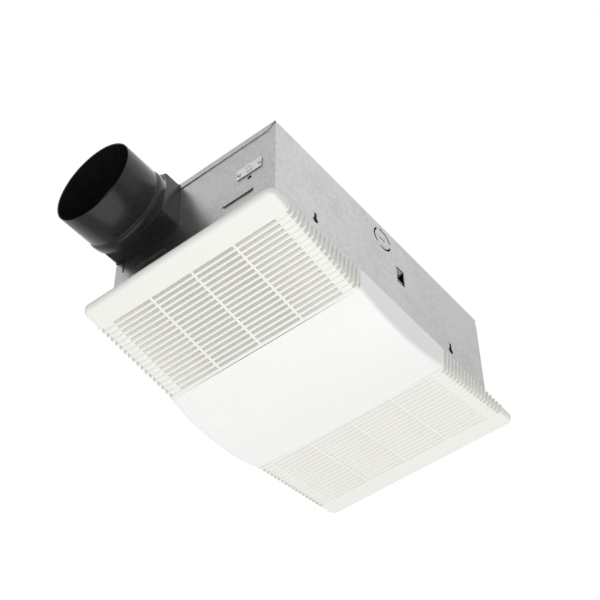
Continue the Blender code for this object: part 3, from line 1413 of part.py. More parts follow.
def lens(plastic, stations=8, spans=4):
    """Bowed lens that wraps both long sides of the grille, as one thin shell."""
    bm = bmesh.new()
    rows = []
    for k in range(stations + 1):
        x = -LENS_HALF + 2 * LENS_HALF * k / stations
        depth = lens_depth(x)
        flat = LENS_HALF_WIDTH - LENS_LEAN - LENS_FOLD
        fold = arc((flat, -depth + LENS_FOLD), LENS_FOLD, -90, 0, 5)
        across = [-flat + 2 * flat * i / spans for i in range(1, spans)]
        outline = [(-LENS_HALF_WIDTH, 0.0)] + [(-y, z) for y, z in fold[::-1]]
        outline += [(y, -depth - LENS_CROWN * (1 - (y / flat) ** 2)) for y in across]
        outline += fold + [(LENS_HALF_WIDTH, 0.0)]
        rows.append([bm.verts.new((x, y, z)) for y, z in outline])
    for one, two in zip(rows, rows[1:]):
        for i in range(len(one) - 1):
            bm.faces.new((one[i], one[i + 1], two[i + 1], two[i]))
    mesh = bpy.data.meshes.new("lens")
    bmesh.ops.recalc_face_normals(bm, faces=bm.faces)
    if sum(face.normal.z for face in bm.faces) > 0:
        bmesh.ops.reverse_faces(bm, faces=bm.faces)
    bm.to_mesh(mesh)
    bm.free()
    shell = new_object("lens", mesh, plastic)
    wall = shell.modifiers.new("wall", "SOLIDIFY")
    wall.thickness = LENS_WALL
    wall.offset = -1.0
    wall.use_even_offset = True
    shade_round(shell)
    return shell


def spring_points(side):
    """Wire of one grille spring: a hooked leg, the coil and the other leg."""
    span = SPRING_TURNS * SPRING_PITCH
    start_x = -SPRING_X - span / 2
    per_turn = 8
    count = int(per_turn * (SPRING_TURNS + 0.5))
    coil = []
    for i in range(count + 1):
        angle = math.pi - 2 * math.pi * i / per_turn
        x = start_x + SPRING_PITCH * (SPRING_TURNS + 0.5) * i / count
        coil.append((x, SPRING_COIL_R * math.cos(angle), SPRING_Z + SPRING_COIL_R * math.sin(angle)))
    first, last = coil[0], coil[-1]

    def leg(x, sign):
        out, up = LEG_ROOT
        return [(x, sign * (LEG_SPREAD + HOOK), LEG_TOP), (x, sign * LEG_SPREAD, LEG_TOP),
                (x, sign * LEG_SPREAD, LEG_BEND), (x, sign * (SPRING_COIL_R + out), SPRING_Z + up)]

    points = leg(first[0], -1) + coil[1:-1] + leg(last[0], 1)[::-1]
    return [(side * -x, y, z) for x, y, z in points]


def grille_spring(name, side, steel):
    """Wire spring that pulls the grille up to the ceiling."""
    points = spring_points(side)
    print(name + ", least gap to itself in mm: %.2f" % (least_gap(points, SPRING_WIRE_R, 4) / MM))
    return wire(name, points, SPRING_WIRE_R, steel)


def spring_bracket(name, side, steel):
    """Angle on the end wall with two holes that guide the spring's legs."""
    wall = side * (END_WALL - SHEET - GAP)
    reach = side * (SPRING_X - BRACKET_REACH)
    low, high = sorted((wall, reach))
    half = LEG_SPREAD + BRACKET_END

    def shelf(bm):
        add_box(bm, (low, -half, BRACKET_Z), (high, half, BRACKET_Z + SHEET))

    def back(bm):
        near, far = sorted((wall, wall - side * SHEET))
        add_box(bm, (near, -half, BRACKET_Z + SHEET / 2), (far, half, BRACKET_Z + BRACKET_HEIGHT))

    def holes(bm):
        points = spring_points(side)
        for x, sign in ((points[0][0], -1), (points[-1][0], 1)):
            y = sign * LEG_SPREAD
            add_box(bm, (x - BRACKET_HOLE / 2, y - BRACKET_HOLE / 2, BRACKET_Z - OVER),
                    (x + BRACKET_HOLE / 2, y + BRACKET_HOLE / 2, BRACKET_Z + 2 * OVER))

    bracket = solid(name, shelf, steel)
    boolean(bracket, back, name + "_back", "UNION")
    boolean(bracket, holes, name + "_holes")
    return bracket


def build():
    """Build every sub-part."""
    clear_scene()
    galvanised = make_material("galvanised_steel", (0.48, 0.49, 0.50), 0.42, 0.9)
    bright = make_material("bright_zinc", (0.72, 0.72, 0.72), 0.3, 0.9)
    black = make_material("black_plastic", (0.012, 0.012, 0.012), 0.3)
    white = make_material("white_plastic", (0.86, 0.85, 0.82), 0.45)
    opal = make_material("opal_plastic", (0.93, 0.93, 0.92), 0.3)
    laminate = make_material("motor_laminations", (0.2, 0.2, 0.21), 0.5, 0.7)
    copper = make_material("copper_winding", (0.5, 0.2, 0.08), 0.4, 0.8)
    dark_steel = make_material("spring_steel", (0.3, 0.3, 0.31), 0.35, 0.9)
    mica = make_material("mica_board", (0.55, 0.48, 0.36), 0.6)
    nichrome = make_material("nichrome_wire", (0.35, 0.33, 0.3), 0.4, 0.8)
    porcelain = make_material("porcelain", (0.85, 0.84, 0.8), 0.25)
    enamel = make_material("white_enamel", (0.85, 0.85, 0.85), 0.35)
    glass = make_material("frosted_glass", (0.95, 0.95, 0.95), 0.4, 0.0, 0.8)
    brass = make_material("lamp_brass", (0.75, 0.6, 0.3), 0.35, 0.9)
    grey = make_material("grey_wheel_plastic", (0.25, 0.26, 0.27), 0.5)
    green = make_material("green_zinc", (0.05, 0.3, 0.1), 0.4, 0.5)

    housing_shell(galvanised)
    button_plate(bright)
    for name, side in (("front", -1), ("rear", 1)):
        button_plate_screw("button_plate_screw_" + name, side, dark_steel)
    duct_connector(black)
    damper_flap(black)

    fan = (FAN_X, FAN_Y)
    heat = (HEAT_X, HEAT_Y)
    scroll("exhaust_scroll", fan_scroll_path(), galvanised)
    air_plate("exhaust_air_plate", -1, fan, FAN_WHEEL_R * INLET_SHARE, galvanised)
    blower_wheel("exhaust_wheel", fan, FAN_WHEEL_R, FAN_WHEEL_H, 24, grey)
    motor_shaft("exhaust_shaft", fan, FAN_WHEEL_H, bright)
    scroll("heater_scroll", heater_scroll_path(), galvanised)

    air_plate("heater_air_plate", 1, heat, HEAT_WHEEL_R * INLET_SHARE, galvanised, heater_outlet)
    blower_wheel("heater_wheel", heat, HEAT_WHEEL_R, HEAT_WHEEL_H, 20, bright)
    motor_shaft("heater_shaft", heat, HEAT_WHEEL_H, bright)
    for label, side in (("exhaust", -1), ("heater", 1)):
        for place, y in (("front", -SIDE_WALL / 2), ("rear", SIDE_WALL / 2)):
            air_plate_screw(label + "_plate_screw_" + place, side, y, bright)
    for name, centre, wheel_r in (("exhaust", fan, FAN_WHEEL_R), ("heater", heat, HEAT_WHEEL_R)):
        motor_core(name + "_motor_core", centre, laminate)
        motor_coil(name + "_motor_coil", centre, copper)
        bearing_bracket(name + "_lower_bearing", centre, True, bright)
        bearing_bracket(name + "_upper_bearing", centre, False, bright)
        motor_mount(name + "_motor_mount", centre, wheel_r * INLET_SHARE, galvanised)

    element_duct(galvanised)
    element_frame(mica)
    heating_coil(nichrome)
    thermal_cutout(black)
    lamp_reflector(enamel)
    lamp_socket(porcelain)
    lamp_cap(brass)
    lamp_bulb(glass)
    wiring_cover(galvanised)
    for label, x in zip(("exhaust", "light", "heater"), receptacle_places()):
        plug_receptacle(label + "_receptacle", x, black)
    ground_screw(green)
    grille_frame(white)
    lens(opal)
    for name, side in (("duct_end", -1), ("far_end", 1)):
        grille_spring("grille_spring_" + name, side, dark_steel)
        spring_bracket("spring_bracket_" + name, side, galvanised)


build()
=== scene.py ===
"""Looks of a recessed bathroom heater, exhaust fan and light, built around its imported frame."""

import logging
import math
from dataclasses import dataclass, field
from enum import Enum
from typing import Callable, Sequence

import bmesh
import bpy
from mathutils import Matrix, Vector


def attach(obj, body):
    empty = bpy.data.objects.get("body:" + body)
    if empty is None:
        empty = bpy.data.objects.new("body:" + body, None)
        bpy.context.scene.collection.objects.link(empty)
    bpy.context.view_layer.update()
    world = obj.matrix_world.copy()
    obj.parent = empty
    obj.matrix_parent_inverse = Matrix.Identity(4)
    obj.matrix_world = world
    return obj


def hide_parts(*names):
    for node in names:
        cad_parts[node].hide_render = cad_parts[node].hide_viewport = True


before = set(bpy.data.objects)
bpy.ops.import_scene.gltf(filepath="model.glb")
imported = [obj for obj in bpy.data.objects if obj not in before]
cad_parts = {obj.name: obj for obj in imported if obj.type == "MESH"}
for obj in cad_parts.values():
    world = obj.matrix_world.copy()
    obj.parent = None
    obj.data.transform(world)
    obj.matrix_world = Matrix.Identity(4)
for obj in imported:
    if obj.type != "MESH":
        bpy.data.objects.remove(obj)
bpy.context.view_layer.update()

log = logging.getLogger("heater_exhaust_fan")

MM = 0.001
NEAR = 0.01 * MM  # places nearer than this count as one
MERGE = 0.005 * MM  # corners nearer than this are merged
WAVE_PERIOD = math.pi / 10  # of a wave texture at a scale of one
Point = tuple[float, float, float]
Test = Callable[[Vector], bool]


class Slot(Enum):
    """Material slots of the record, one named for each kind of new piece."""

    STEEL = "galvanised_steel"
    BLACK = "black_plastic"
    WHITE = "white_plastic"
    OPAL = "opal_plastic"


class Body(Enum):
    """Bodies of the frame that the new pieces ride on."""

    HOUSING = "housing"
    GRILLE = "grille"
    LENS = "lens_cover"


# Colour and shader helpers


def linear(code: str) -> tuple[float, float, float, float]:
    """Turn an sRGB hex colour into linear values.

    Args:
        code: six hex digits, with or without a leading hash.

    Returns:
        Red, green, blue and an alpha of one.
    """
    code = code.lstrip("#")
    channels = [int(code[i:i + 2], 16) / 255 for i in (0, 2, 4)]
    values = [c / 12.92 if c <= 0.04045 else ((c + 0.055) / 1.055) ** 2.4 for c in channels]
    return (values[0], values[1], values[2], 1.0)


def add_node(tree: bpy.types.NodeTree, kind: str, settings: dict | None = None,
             inputs: dict | None = None) -> bpy.types.Node:
    """Add a node with its settings, values and links.

    Args:
        tree: the node tree it goes in.
        kind: the node's type, such as ShaderNodeTexNoise.
        settings: attributes of the node.
        inputs: socket name or number to a value, or to an output socket to link from.

    Returns:
        The new node.
    """
    node = tree.nodes.new(kind)
    for name, value in (settings or {}).items():
        setattr(node, name, value)
    for key, value in (inputs or {}).items():
        socket = node.inputs[key]
        if isinstance(value, bpy.types.NodeSocket):
            tree.links.new(value, socket)
        else:
            socket.default_value = value
    return node


def ramp(tree: bpy.types.NodeTree, factor: bpy.types.NodeSocket,
         stops: Sequence[tuple[float, tuple[float, float, float, float]]]) -> bpy.types.Node:
    """Add a colour ramp.

    Args:
        tree: the node tree it goes in.
        factor: the socket that drives it.
        stops: position and colour of each stop, in order.

    Returns:
        The colour ramp node.
    """
    node = add_node(tree, "ShaderNodeValToRGB", inputs={"Fac": factor})
    elements = node.color_ramp.elements
    while len(elements) < len(stops):
        elements.new(0.5)
    for element, (position, colour) in zip(elements, stops):
        element.position = position
        element.color = colour
    return node


@dataclass(frozen=True)
class Finish:
    """A finish with a colour, a sheen and a fine surface grain.

    The colour drifts between two shades at grain_mm, and a grain half as wide lifts the surface
    by bump_mm.
    """

    name: str
    shade: str
    light: str
    roughness: float
    metallic: float = 0.0
    ior: float = 1.5
    grain_mm: float = 2.0
    bump_mm: float = 0.02
    specular: float = 0.5
    coat: float = 0.0
    detail: float = 3.0

    def colour(self, tree: bpy.types.NodeTree, place: bpy.types.NodeSocket) -> bpy.types.NodeSocket:
        """Blend the two shades with a noise as wide as the grain.

        Args:
            tree: the material's node tree.
            place: object coordinates in metres.

        Returns:
            The colour socket.
        """
        noise = add_node(tree, "ShaderNodeTexNoise", inputs={
            "Vector": place, "Scale": 1.0 / (self.grain_mm * MM), "Detail": self.detail, "Roughness": 0.55})
        return ramp(tree, noise.outputs["Fac"],
                    [(0.3, linear(self.shade)), (0.7, linear(self.light))]).outputs["Color"]

    def height(self, tree: bpy.types.NodeTree, place: bpy.types.NodeSocket) -> bpy.types.NodeSocket:
        """Give the grain's height.

        Args:
            tree: the material's node tree.
            place: object coordinates in metres.

        Returns:
            The height socket, from zero to one.
        """
        noise = add_node(tree, "ShaderNodeTexNoise", inputs={
            "Vector": place, "Scale": 2.0 / (self.grain_mm * MM), "Detail": 2.0})
        return noise.outputs["Fac"]

    def adjust(self, tree: bpy.types.NodeTree, shader: bpy.types.Node) -> None:
        """Set whatever else a finish needs on its shader."""

    def make(self) -> bpy.types.Material:
        """Build the material.

        Returns:
            The finished material.
        """
        material = bpy.data.materials.new(self.name)
        material.use_nodes = True
        tree = material.node_tree
        shader = tree.nodes["Principled BSDF"]
        place = add_node(tree, "ShaderNodeTexCoord").outputs["Object"]
        tree.links.new(self.colour(tree, place), shader.inputs["Base Color"])
        bump = add_node(tree, "ShaderNodeBump", inputs={
            "Height": self.height(tree, place), "Distance": self.bump_mm * MM, "Strength": 1.0})
        tree.links.new(bump.outputs["Normal"], shader.inputs["Normal"])
        shader.inputs["Roughness"].default_value = self.roughness
        shader.inputs["Metallic"].default_value = self.metallic
        shader.inputs["IOR"].default_value = self.ior
        shader.inputs["Specular IOR Level"].default_value = self.specular
        shader.inputs["Coat Weight"].default_value = self.coat
        self.adjust(tree, shader)
        return material


@dataclass(frozen=True)
class GalvanisedSheet(Finish):
    """Hot-dip galvanised sheet, whose small zinc crystals each catch the light apart."""

    crystal_mm: float = 3.4
    crystal_share: float = 0.6
    clouds_per_metre: float = 22.0

    def colour(self, tree: bpy.types.NodeTree, place: bpy.types.NodeSocket) -> bpy.types.NodeSocket:
        """Give each zinc crystal its own grey, under a soft cloud of handling marks.

        Args:
            tree: the material's node tree.
            place: object coordinates in metres.

        Returns:
            The colour socket.
        """
        crystals = add_node(tree, "ShaderNodeTexVoronoi", {"feature": "F1"}, {
            "Vector": place, "Scale": 1.0 / (self.crystal_mm * MM), "Randomness": 1.0})
        grey = add_node(tree, "ShaderNodeSeparateColor", inputs={"Color": crystals.outputs["Color"]})
        cloud = add_node(tree, "ShaderNodeTexNoise", inputs={
            "Vector": place, "Scale": self.clouds_per_metre, "Detail": 5.0})
        blend = add_node(tree, "ShaderNodeMath", {"operation": "MULTIPLY_ADD"}, {
            0: grey.outputs["Red"], 1: self.crystal_share, 2: cloud.outputs["Fac"]})
        return ramp(tree, blend.outputs["Value"],
                    [(0.3, linear(self.shade)), (1.0, linear(self.light))]).outputs["Color"]

    def height(self, tree: bpy.types.NodeTree, place: bpy.types.NodeSocket) -> bpy.types.NodeSocket:
        """Tilt the crystals a little against each other.

        Args:
            tree: the material's node tree.
            place: object coordinates in metres.

        Returns:
            The height socket.
        """
        crystals = add_node(tree, "ShaderNodeTexVoronoi", {"feature": "SMOOTH_F1"}, {
            "Vector": place, "Scale": 1.0 / (self.crystal_mm * MM), "Smoothness": 0.3})
        return crystals.outputs["Distance"]


@dataclass(frozen=True)
class GlowingPlastic(Finish):
    """Translucent plastic or frosted glass that scatters light just under its skin."""

    scatter: float = 0.25
    depth_mm: float = 2.0

    def adjust(self, tree: bpy.types.NodeTree, shader: bpy.types.Node) -> None:
        """Add the scattering under the skin.

        Args:
            tree: the material's node tree, not used here.
            shader: its Principled shader.
        """
        shader.inputs["Subsurface Weight"].default_value = self.scatter
        shader.inputs["Subsurface Radius"].default_value = (1.0, 1.0, 1.0)
        shader.inputs["Subsurface Scale"].default_value = self.depth_mm * MM


@dataclass(frozen=True)
class Laminations(Finish):
    """Stacked electrical-steel sheets, 0.5 mm each, whose edges show as fine level lines."""

    sheet_mm: float = 0.5

    def height(self, tree: bpy.types.NodeTree, place: bpy.types.NodeSocket) -> bpy.types.NodeSocket:
        """Draw a line for the edge of each sheet.

        Args:
            tree: the material's node tree.
            place: object coordinates in metres.

        Returns:
            The height socket.
        """
        lines = add_node(tree, "ShaderNodeTexWave", {"wave_type": "BANDS", "bands_direction": "Z"}, {
            "Vector": place, "Scale": WAVE_PERIOD / (self.sheet_mm * MM)})
        return lines.outputs["Fac"]


@dataclass(frozen=True)
class WoundWire(Finish):
    """Enamelled copper wire wound in close layers along one direction."""

    wire_mm: float = 0.7

    def height(self, tree: bpy.types.NodeTree, place: bpy.types.NodeSocket) -> bpy.types.NodeSocket:
        """Draw the turns side by side.

        Args:
            tree: the material's node tree.
            place: object coordinates in metres.

        Returns:
            The height socket.
        """
        turns = add_node(tree, "ShaderNodeTexWave", {"wave_type": "BANDS", "bands_direction": "X"}, {
            "Vector": place, "Scale": WAVE_PERIOD / (self.wire_mm * MM), "Distortion": 0.4})
        return turns.outputs["Fac"]


GALVANISED = GalvanisedSheet("galvanised steel sheet", "A5A6A6", "B5B6B6", 0.33, 1.0, bump_mm=0.004)
ZINC_BRIGHT = Finish("bright zinc plate", "C0C1C2", "D6D7D8", 0.34, 1.0, grain_mm=1.6, bump_mm=0.005)
BLACK_MOULDED = Finish("black polypropylene, glossy moulded", "1C1C1C", "242424", 0.25, specular=0.32,
                       grain_mm=6.0, bump_mm=0.02)
WHITE_MOULDED = Finish("white polystyrene, satin moulded", "F2F1EC", "F7F6F2", 0.42, grain_mm=1.0,
                       bump_mm=0.008)
OPAL = GlowingPlastic("opal acrylic, moulded", "FAFBF9", "FDFDFC", 0.3, ior=1.49, grain_mm=8.0, bump_mm=0.01,
                      scatter=0.3, depth_mm=3.0)
LAMINATED = Laminations("laminated motor steel", "55565A", "6C6D70", 0.5, 0.85, bump_mm=0.08, grain_mm=1.5)
COPPER = WoundWire("enamelled copper winding", "8E4A22", "B4642F", 0.32, 0.85, bump_mm=0.15, grain_mm=1.5)
SPRING = Finish("oiled spring steel", "5D5F62", "77797C", 0.3, 1.0, grain_mm=1.2, bump_mm=0.01)
MICA = Finish("pressed mica board", "A8967A", "C9B998", 0.55, grain_mm=3.0, bump_mm=0.06, detail=8.0)
NICHROME = Finish("drawn nichrome wire", "6B655E", "8A847B", 0.38, 0.9, grain_mm=0.8, bump_mm=0.01)
PORCELAIN = Finish("glazed porcelain", "ECEAE3", "F3F1EB", 0.16, ior=1.55, grain_mm=12.0, bump_mm=0.02,
                   coat=0.4)
ENAMEL = Finish("white baked enamel on steel", "F2F2EF", "F7F7F5", 0.28, grain_mm=2.5, bump_mm=0.03,
                coat=0.3)
BULB_GLASS = GlowingPlastic("frosted lamp glass", "F7F7F4", "FBFBFA", 0.35, ior=1.52, grain_mm=5.0,
                            bump_mm=0.01, scatter=0.4, depth_mm=4.0)
CAP_METAL = Finish("nickelled brass lamp cap", "B9AE8C", "D3C9A6", 0.3, 1.0, grain_mm=1.0, bump_mm=0.02)
WHEEL_GREY = Finish("grey polypropylene, moulded", "56585A", "626466", 0.48, grain_mm=1.5, bump_mm=0.02)
WHEEL_METAL = Finish("rolled aluminium sheet", "AEB0B2", "CBCDCE", 0.34, 1.0, grain_mm=1.5, bump_mm=0.02)
BLACK_NYLON = Finish("black nylon, satin moulded", "141414", "1E1E1E", 0.42, grain_mm=1.0, bump_mm=0.02)
GREEN_ZINC = Finish("green chromated screw", "1F6B3A", "2F8A4E", 0.35, 0.6, grain_mm=0.8, bump_mm=0.01)

FAN_FINISHES: dict[str, Finish] = {
    "scroll": GALVANISED, "air_plate": GALVANISED, "shaft": ZINC_BRIGHT, "motor_core": LAMINATED,
    "motor_coil": COPPER, "motor_mount": GALVANISED, "lower_bearing": ZINC_BRIGHT,
    "upper_bearing": ZINC_BRIGHT, "plate_screw_front": ZINC_BRIGHT, "plate_screw_rear": ZINC_BRIGHT,
}

NODE_FINISHES: dict[str, Finish] = {
    "housing_shell": GALVANISED, "button_plate": ZINC_BRIGHT, "button_plate_screw_front": ZINC_BRIGHT,
    "button_plate_screw_rear": ZINC_BRIGHT, "duct_connector": BLACK_MOULDED, "damper_flap": BLACK_MOULDED,
    "grille_frame": WHITE_MOULDED, "lens": OPAL, "exhaust_wheel": WHEEL_GREY, "heater_wheel": WHEEL_METAL,
    "element_duct": GALVANISED, "element_frame": MICA, "heating_coil": NICHROME,
    "thermal_cutout": BLACK_NYLON, "lamp_reflector": ENAMEL, "lamp_socket": PORCELAIN,
    "lamp_cap": CAP_METAL, "lamp_bulb": BULB_GLASS, "wiring_cover": GALVANISED,
    "exhaust_receptacle": BLACK_NYLON, "light_receptacle": BLACK_NYLON, "heater_receptacle": BLACK_NYLON,
    "ground_screw": GREEN_ZINC, "grille_spring_duct_end": SPRING, "grille_spring_far_end": SPRING,
    "spring_bracket_duct_end": GALVANISED, "spring_bracket_far_end": GALVANISED,
    **{f"{fan}_{piece}": finish for fan in ("exhaust", "heater") for piece, finish in FAN_FINISHES.items()},
}


@dataclass
class PaintShop:
    """Makes each finish once and hands it out."""

    made: dict[str, bpy.types.Material] = field(default_factory=dict)

    def get(self, finish: Finish) -> bpy.types.Material:
        """Give the material of a finish, making it the first time.

        Args:
            finish: the finish that is wanted.

        Returns:
            Its material.
        """
        if finish.name not in self.made:
            self.made[finish.name] = finish.make()
        return self.made[finish.name]

    def dress_nodes(self) -> None:
        """Give every carried-over piece of the frame its finish."""
        for node, finish in NODE_FINISHES.items():
            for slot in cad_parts[node].material_slots:
                slot.material = self.get(finish)


# Modelling helpers


def deselect() -> None:
    """Leave edit mode and deselect every object."""
    if bpy.context.object and bpy.context.object.mode != "OBJECT":
        bpy.ops.object.mode_set(mode="OBJECT")
    bpy.ops.object.select_all(action="DESELECT")


def activate(obj: bpy.types.Object) -> None:
    """Make an object the only selected one, and the active one.

    Args:
        obj: the object.
    """
    deselect()
    obj.select_set(True)
    bpy.context.view_layer.objects.active = obj


def edit(obj: bpy.types.Object) -> None:
    """Open an object for editing, with all of it selected.

    Args:
        obj: the object.
    """
    activate(obj)
    bpy.ops.object.mode_set(mode="EDIT")
    bpy.ops.mesh.select_mode(type="VERT")
    bpy.ops.mesh.select_all(action="SELECT")


def empty_mesh(name: str) -> bpy.types.Object:
    """Start a new object and open it for editing.

    Args:
        name: the object's name.

    Returns:
        The object, active and in edit mode.
    """
    deselect()
    bpy.ops.mesh.primitive_plane_add(size=MM)
    obj = bpy.context.object
    obj.name = name
    bpy.ops.object.mode_set(mode="EDIT")
    bpy.ops.mesh.delete(type="VERT")
    return obj


def pick(test: Test, kind: str = "VERT") -> int:
    """Select the parts of the edited mesh whose place passes a test.

    Args:
        test: told a vertex's place, or the middle of an edge or face.
        kind: VERT, EDGE or FACE.

    Returns:
        How many were selected.
    """
    bpy.ops.mesh.select_mode(type=kind)
    bpy.ops.mesh.select_all(action="DESELECT")
    mesh = bmesh.from_edit_mesh(bpy.context.object.data)
    count = 0
    for item in {"VERT": mesh.verts, "EDGE": mesh.edges, "FACE": mesh.faces}[kind]:
        corners = [item.co] if kind == "VERT" else [vertex.co for vertex in item.verts]
        if test(sum(corners, Vector()) / len(corners)):
            item.select_set(True)
            count += 1
    mesh.select_flush(True)
    bmesh.update_edit_mesh(bpy.context.object.data)
    return count


def add_cube(low: Point, high: Point) -> None:
    """Add a box between two corners, in object or edit mode.

    Args:
        low: lowest corner.
        high: highest corner.
    """
    middle = [(a + b) / 2 for a, b in zip(low, high)]
    bpy.ops.mesh.primitive_cube_add(size=1.0, location=middle)
    size = [b - a for a, b in zip(low, high)]
    bpy.ops.transform.resize(value=size, center_override=middle)


def add_rectangle(middle: Point, width: float, height: float) -> None:
    """Add an upright rectangle that faces along X to the edited mesh.

    Args:
        middle: its middle.
        width: its size along Y.
        height: its size along Z.
    """
    bpy.ops.mesh.primitive_plane_add(size=1.0, location=middle, rotation=(0, math.pi / 2, 0))
    bpy.ops.transform.resize(value=(1, width, height), center_override=middle)


def bridge(places: Sequence[float]) -> None:
    """Bridge the sections of the edited mesh, each to the next.

    Args:
        places: X of the sections, in order.
    """
    for one, two in zip(places, places[1:]):
        pick(lambda p: abs(p.x - one) < NEAR or abs(p.x - two) < NEAR, "EDGE")
        bpy.ops.mesh.bridge_edge_loops()


def trim(place: Point, normal: Point) -> None:
    """Cut the edited mesh with a plane and delete what lies beyond it.

    Args:
        place: a point of the plane.
        normal: the side that goes.
    """
    bpy.ops.mesh.select_all(action="SELECT")
    bpy.ops.mesh.bisect(plane_co=place, plane_no=normal, clear_outer=True)


def finish_mesh(obj: bpy.types.Object) -> None:
    """Close the edit: merge doubles, turn the faces outwards and bring the origin to zero.

    Args:
        obj: the edited object.
    """
    edit(obj)
    bpy.ops.mesh.remove_doubles(threshold=MERGE)
    bpy.ops.mesh.normals_make_consistent(inside=False)
    bpy.ops.object.mode_set(mode="OBJECT")
    bpy.ops.object.transform_apply(location=True, rotation=True, scale=True)


def apply_modifier(obj: bpy.types.Object, kind: str, **settings: object) -> None:
    """Add a modifier with its settings and apply it.

    Args:
        obj: the object it works on.
        kind: the modifier's type.
        settings: its attributes.
    """
    activate(obj)
    modifier = obj.modifiers.new(kind.title(), kind)
    for name, value in settings.items():
        setattr(modifier, name, value)
    bpy.ops.object.modifier_apply(modifier=modifier.name)


def carve(obj: bpy.types.Object, tool: bpy.types.Object, operation: str = "DIFFERENCE") -> None:
    """Cut or join a piece with a tool shape, and remove the tool.

    Args:
        obj: the piece.
        tool: the closed shape that cuts it.
        operation: DIFFERENCE, UNION or INTERSECT.
    """
    apply_modifier(obj, "BOOLEAN", object=tool, operation=operation, solver="EXACT")
    bpy.data.objects.remove(tool, do_unlink=True)


def join(obj: bpy.types.Object, extra: bpy.types.Object) -> None:
    """Make an extra shape part of a piece's mesh.

    Args:
        obj: the piece.
        extra: the shape that joins it.
    """
    activate(obj)
    extra.select_set(True)
    bpy.ops.object.join()


def flip(obj: bpy.types.Object) -> None:
    """Turn all faces of a piece over.

    Args:
        obj: the piece.
    """
    edit(obj)
    bpy.ops.mesh.flip_normals()
    bpy.ops.object.mode_set(mode="OBJECT")


def smooth(obj: bpy.types.Object, degrees: float = 30.0) -> None:
    """Shade smooth, with edges sharper than an angle left hard.

    Args:
        obj: the piece.
        degrees: the angle.
    """
    activate(obj)
    bpy.ops.object.shade_smooth_by_angle(angle=math.radians(degrees))


def copy_node(node: str, name: str) -> bpy.types.Object:
    """Copy a piece of the frame as a merged mesh of its own.

    Args:
        node: the frame's piece.
        name: the copy's name.

    Returns:
        The copy, at the origin.
    """
    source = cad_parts[node]
    obj = bpy.data.objects.new(name, source.data.copy())
    bpy.context.scene.collection.objects.link(obj)
    edit(obj)
    bpy.ops.mesh.remove_doubles(threshold=MERGE)
    bpy.ops.mesh.dissolve_limited(angle_limit=math.radians(0.5))
    bpy.ops.object.mode_set(mode="OBJECT")
    return obj


@dataclass
class Outfitter:
    """Finishes a new piece: its material, the body it rides on and the node it stands for."""

    paint: PaintShop

    def fit(self, obj: bpy.types.Object, finish: Finish, body: Body, slot: Slot, *nodes: str) -> None:
        """Dress a piece and hand it to the frame.

        Args:
            obj: the finished piece.
            finish: its surface.
            body: the body that it moves with.
            slot: the record's material slot, not used.
            nodes: the frame's pieces that it replaces.
        """
        obj.data.materials.clear()
        obj.data.materials.append(self.paint.get(finish))
        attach(obj, body.value)
        if nodes:
            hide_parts(*nodes)
        log.info("%s: %d faces", obj.name, len(obj.data.polygons))


# Sub-assemblies


@dataclass
class LensCover:
    """Bowed lens that wraps both long sides of the grille."""

    half_length: float = 70.4 * MM
    half_width: float = 126.2 * MM
    depth: float = 39.5 * MM
    edge_depth: float = 27.4 * MM
    fold: float = 5.0 * MM
    crown: float = 1.2 * MM
    draft: float = 1.0 * MM
    wall: float = 1.8 * MM
    spare: float = 30.0 * MM
    fold_steps: int = 12
    crown_steps: int = 9
    bow_steps: int = 16
    bow_turn: float = 27.0

    def bow_radius(self) -> float:
        """Radius of the bow along the lens, from its rise over half its length."""
        rise = self.depth - self.edge_depth
        return (self.half_length ** 2 + rise ** 2) / (2 * rise)

    def section(self) -> None:
        """Draw the section across the middle: skirt, fold, crowned face, fold and skirt."""
        height = self.depth + self.spare
        add_rectangle((0, 0, self.spare - height / 2), 2 * self.half_width, height)
        pick(lambda p: p.z < -self.depth / 2)
        bpy.ops.transform.resize(value=(1, 1 - self.draft / self.half_width, 1),
                                 center_override=(0, 0, -self.depth))
        bpy.ops.mesh.bevel(offset=self.fold, segments=self.fold_steps, affect="VERTICES")
        pick(lambda p: abs(p.z + self.depth) < NEAR and abs(p.y) < 1 * MM, "EDGE")
        bpy.ops.mesh.subdivide(number_cuts=2 * self.crown_steps - 1)
        flat = self.half_width - self.draft - self.fold
        for k in range(1, self.crown_steps + 1):
            share = k / self.crown_steps
            place = flat - flat * share
            if pick(lambda p: abs(abs(p.y) - place) < 0.5 * MM and p.z < -self.depth + NEAR):
                bpy.ops.transform.translate(value=(0, 0, -self.crown * (1 - (1 - share) ** 2)))
        bpy.ops.mesh.select_all(action="SELECT")
        bpy.ops.mesh.delete(type="ONLY_FACE")
        pick(lambda p: abs(p.z - self.spare) < NEAR, "EDGE")
        bpy.ops.mesh.delete(type="EDGE")

    def build(self, outfitter: Outfitter) -> None:
        """Spin the section over half the bow, trim it, mirror it and give it its wall.

        Args:
            outfitter: dresses the finished lens.
        """
        lens = empty_mesh("bowed_lens")
        self.section()
        bpy.ops.mesh.select_all(action="SELECT")
        bpy.ops.mesh.spin(steps=self.bow_steps, angle=math.radians(self.bow_turn),
                          center=(0, 0, self.bow_radius() - self.depth), axis=(0, 1, 0))
        side = 1 if sum(v.co.x for v in bmesh.from_edit_mesh(lens.data).verts) > 0 else -1
        trim((side * self.half_length, 0, 0), (side, 0, 0))
        trim((0, 0, 0), (0, 0, 1))
        finish_mesh(lens)
        apply_modifier(lens, "MIRROR", merge_threshold=0.02 * MM)
        self.face_down(lens)
        apply_modifier(lens, "SOLIDIFY", thickness=self.wall, offset=-1.0, use_even_offset=True)
        smooth(lens, degrees=32)
        outfitter.fit(lens, OPAL, Body.LENS, Slot.OPAL, "lens")

    def face_down(self, lens: bpy.types.Object) -> None:
        """Turn the open sheet so that its face looks down before it gets its wall.

        Args:
            lens: the open sheet.
        """
        if sum(face.normal.z * face.area for face in lens.data.polygons) > 0:
            flip(lens)


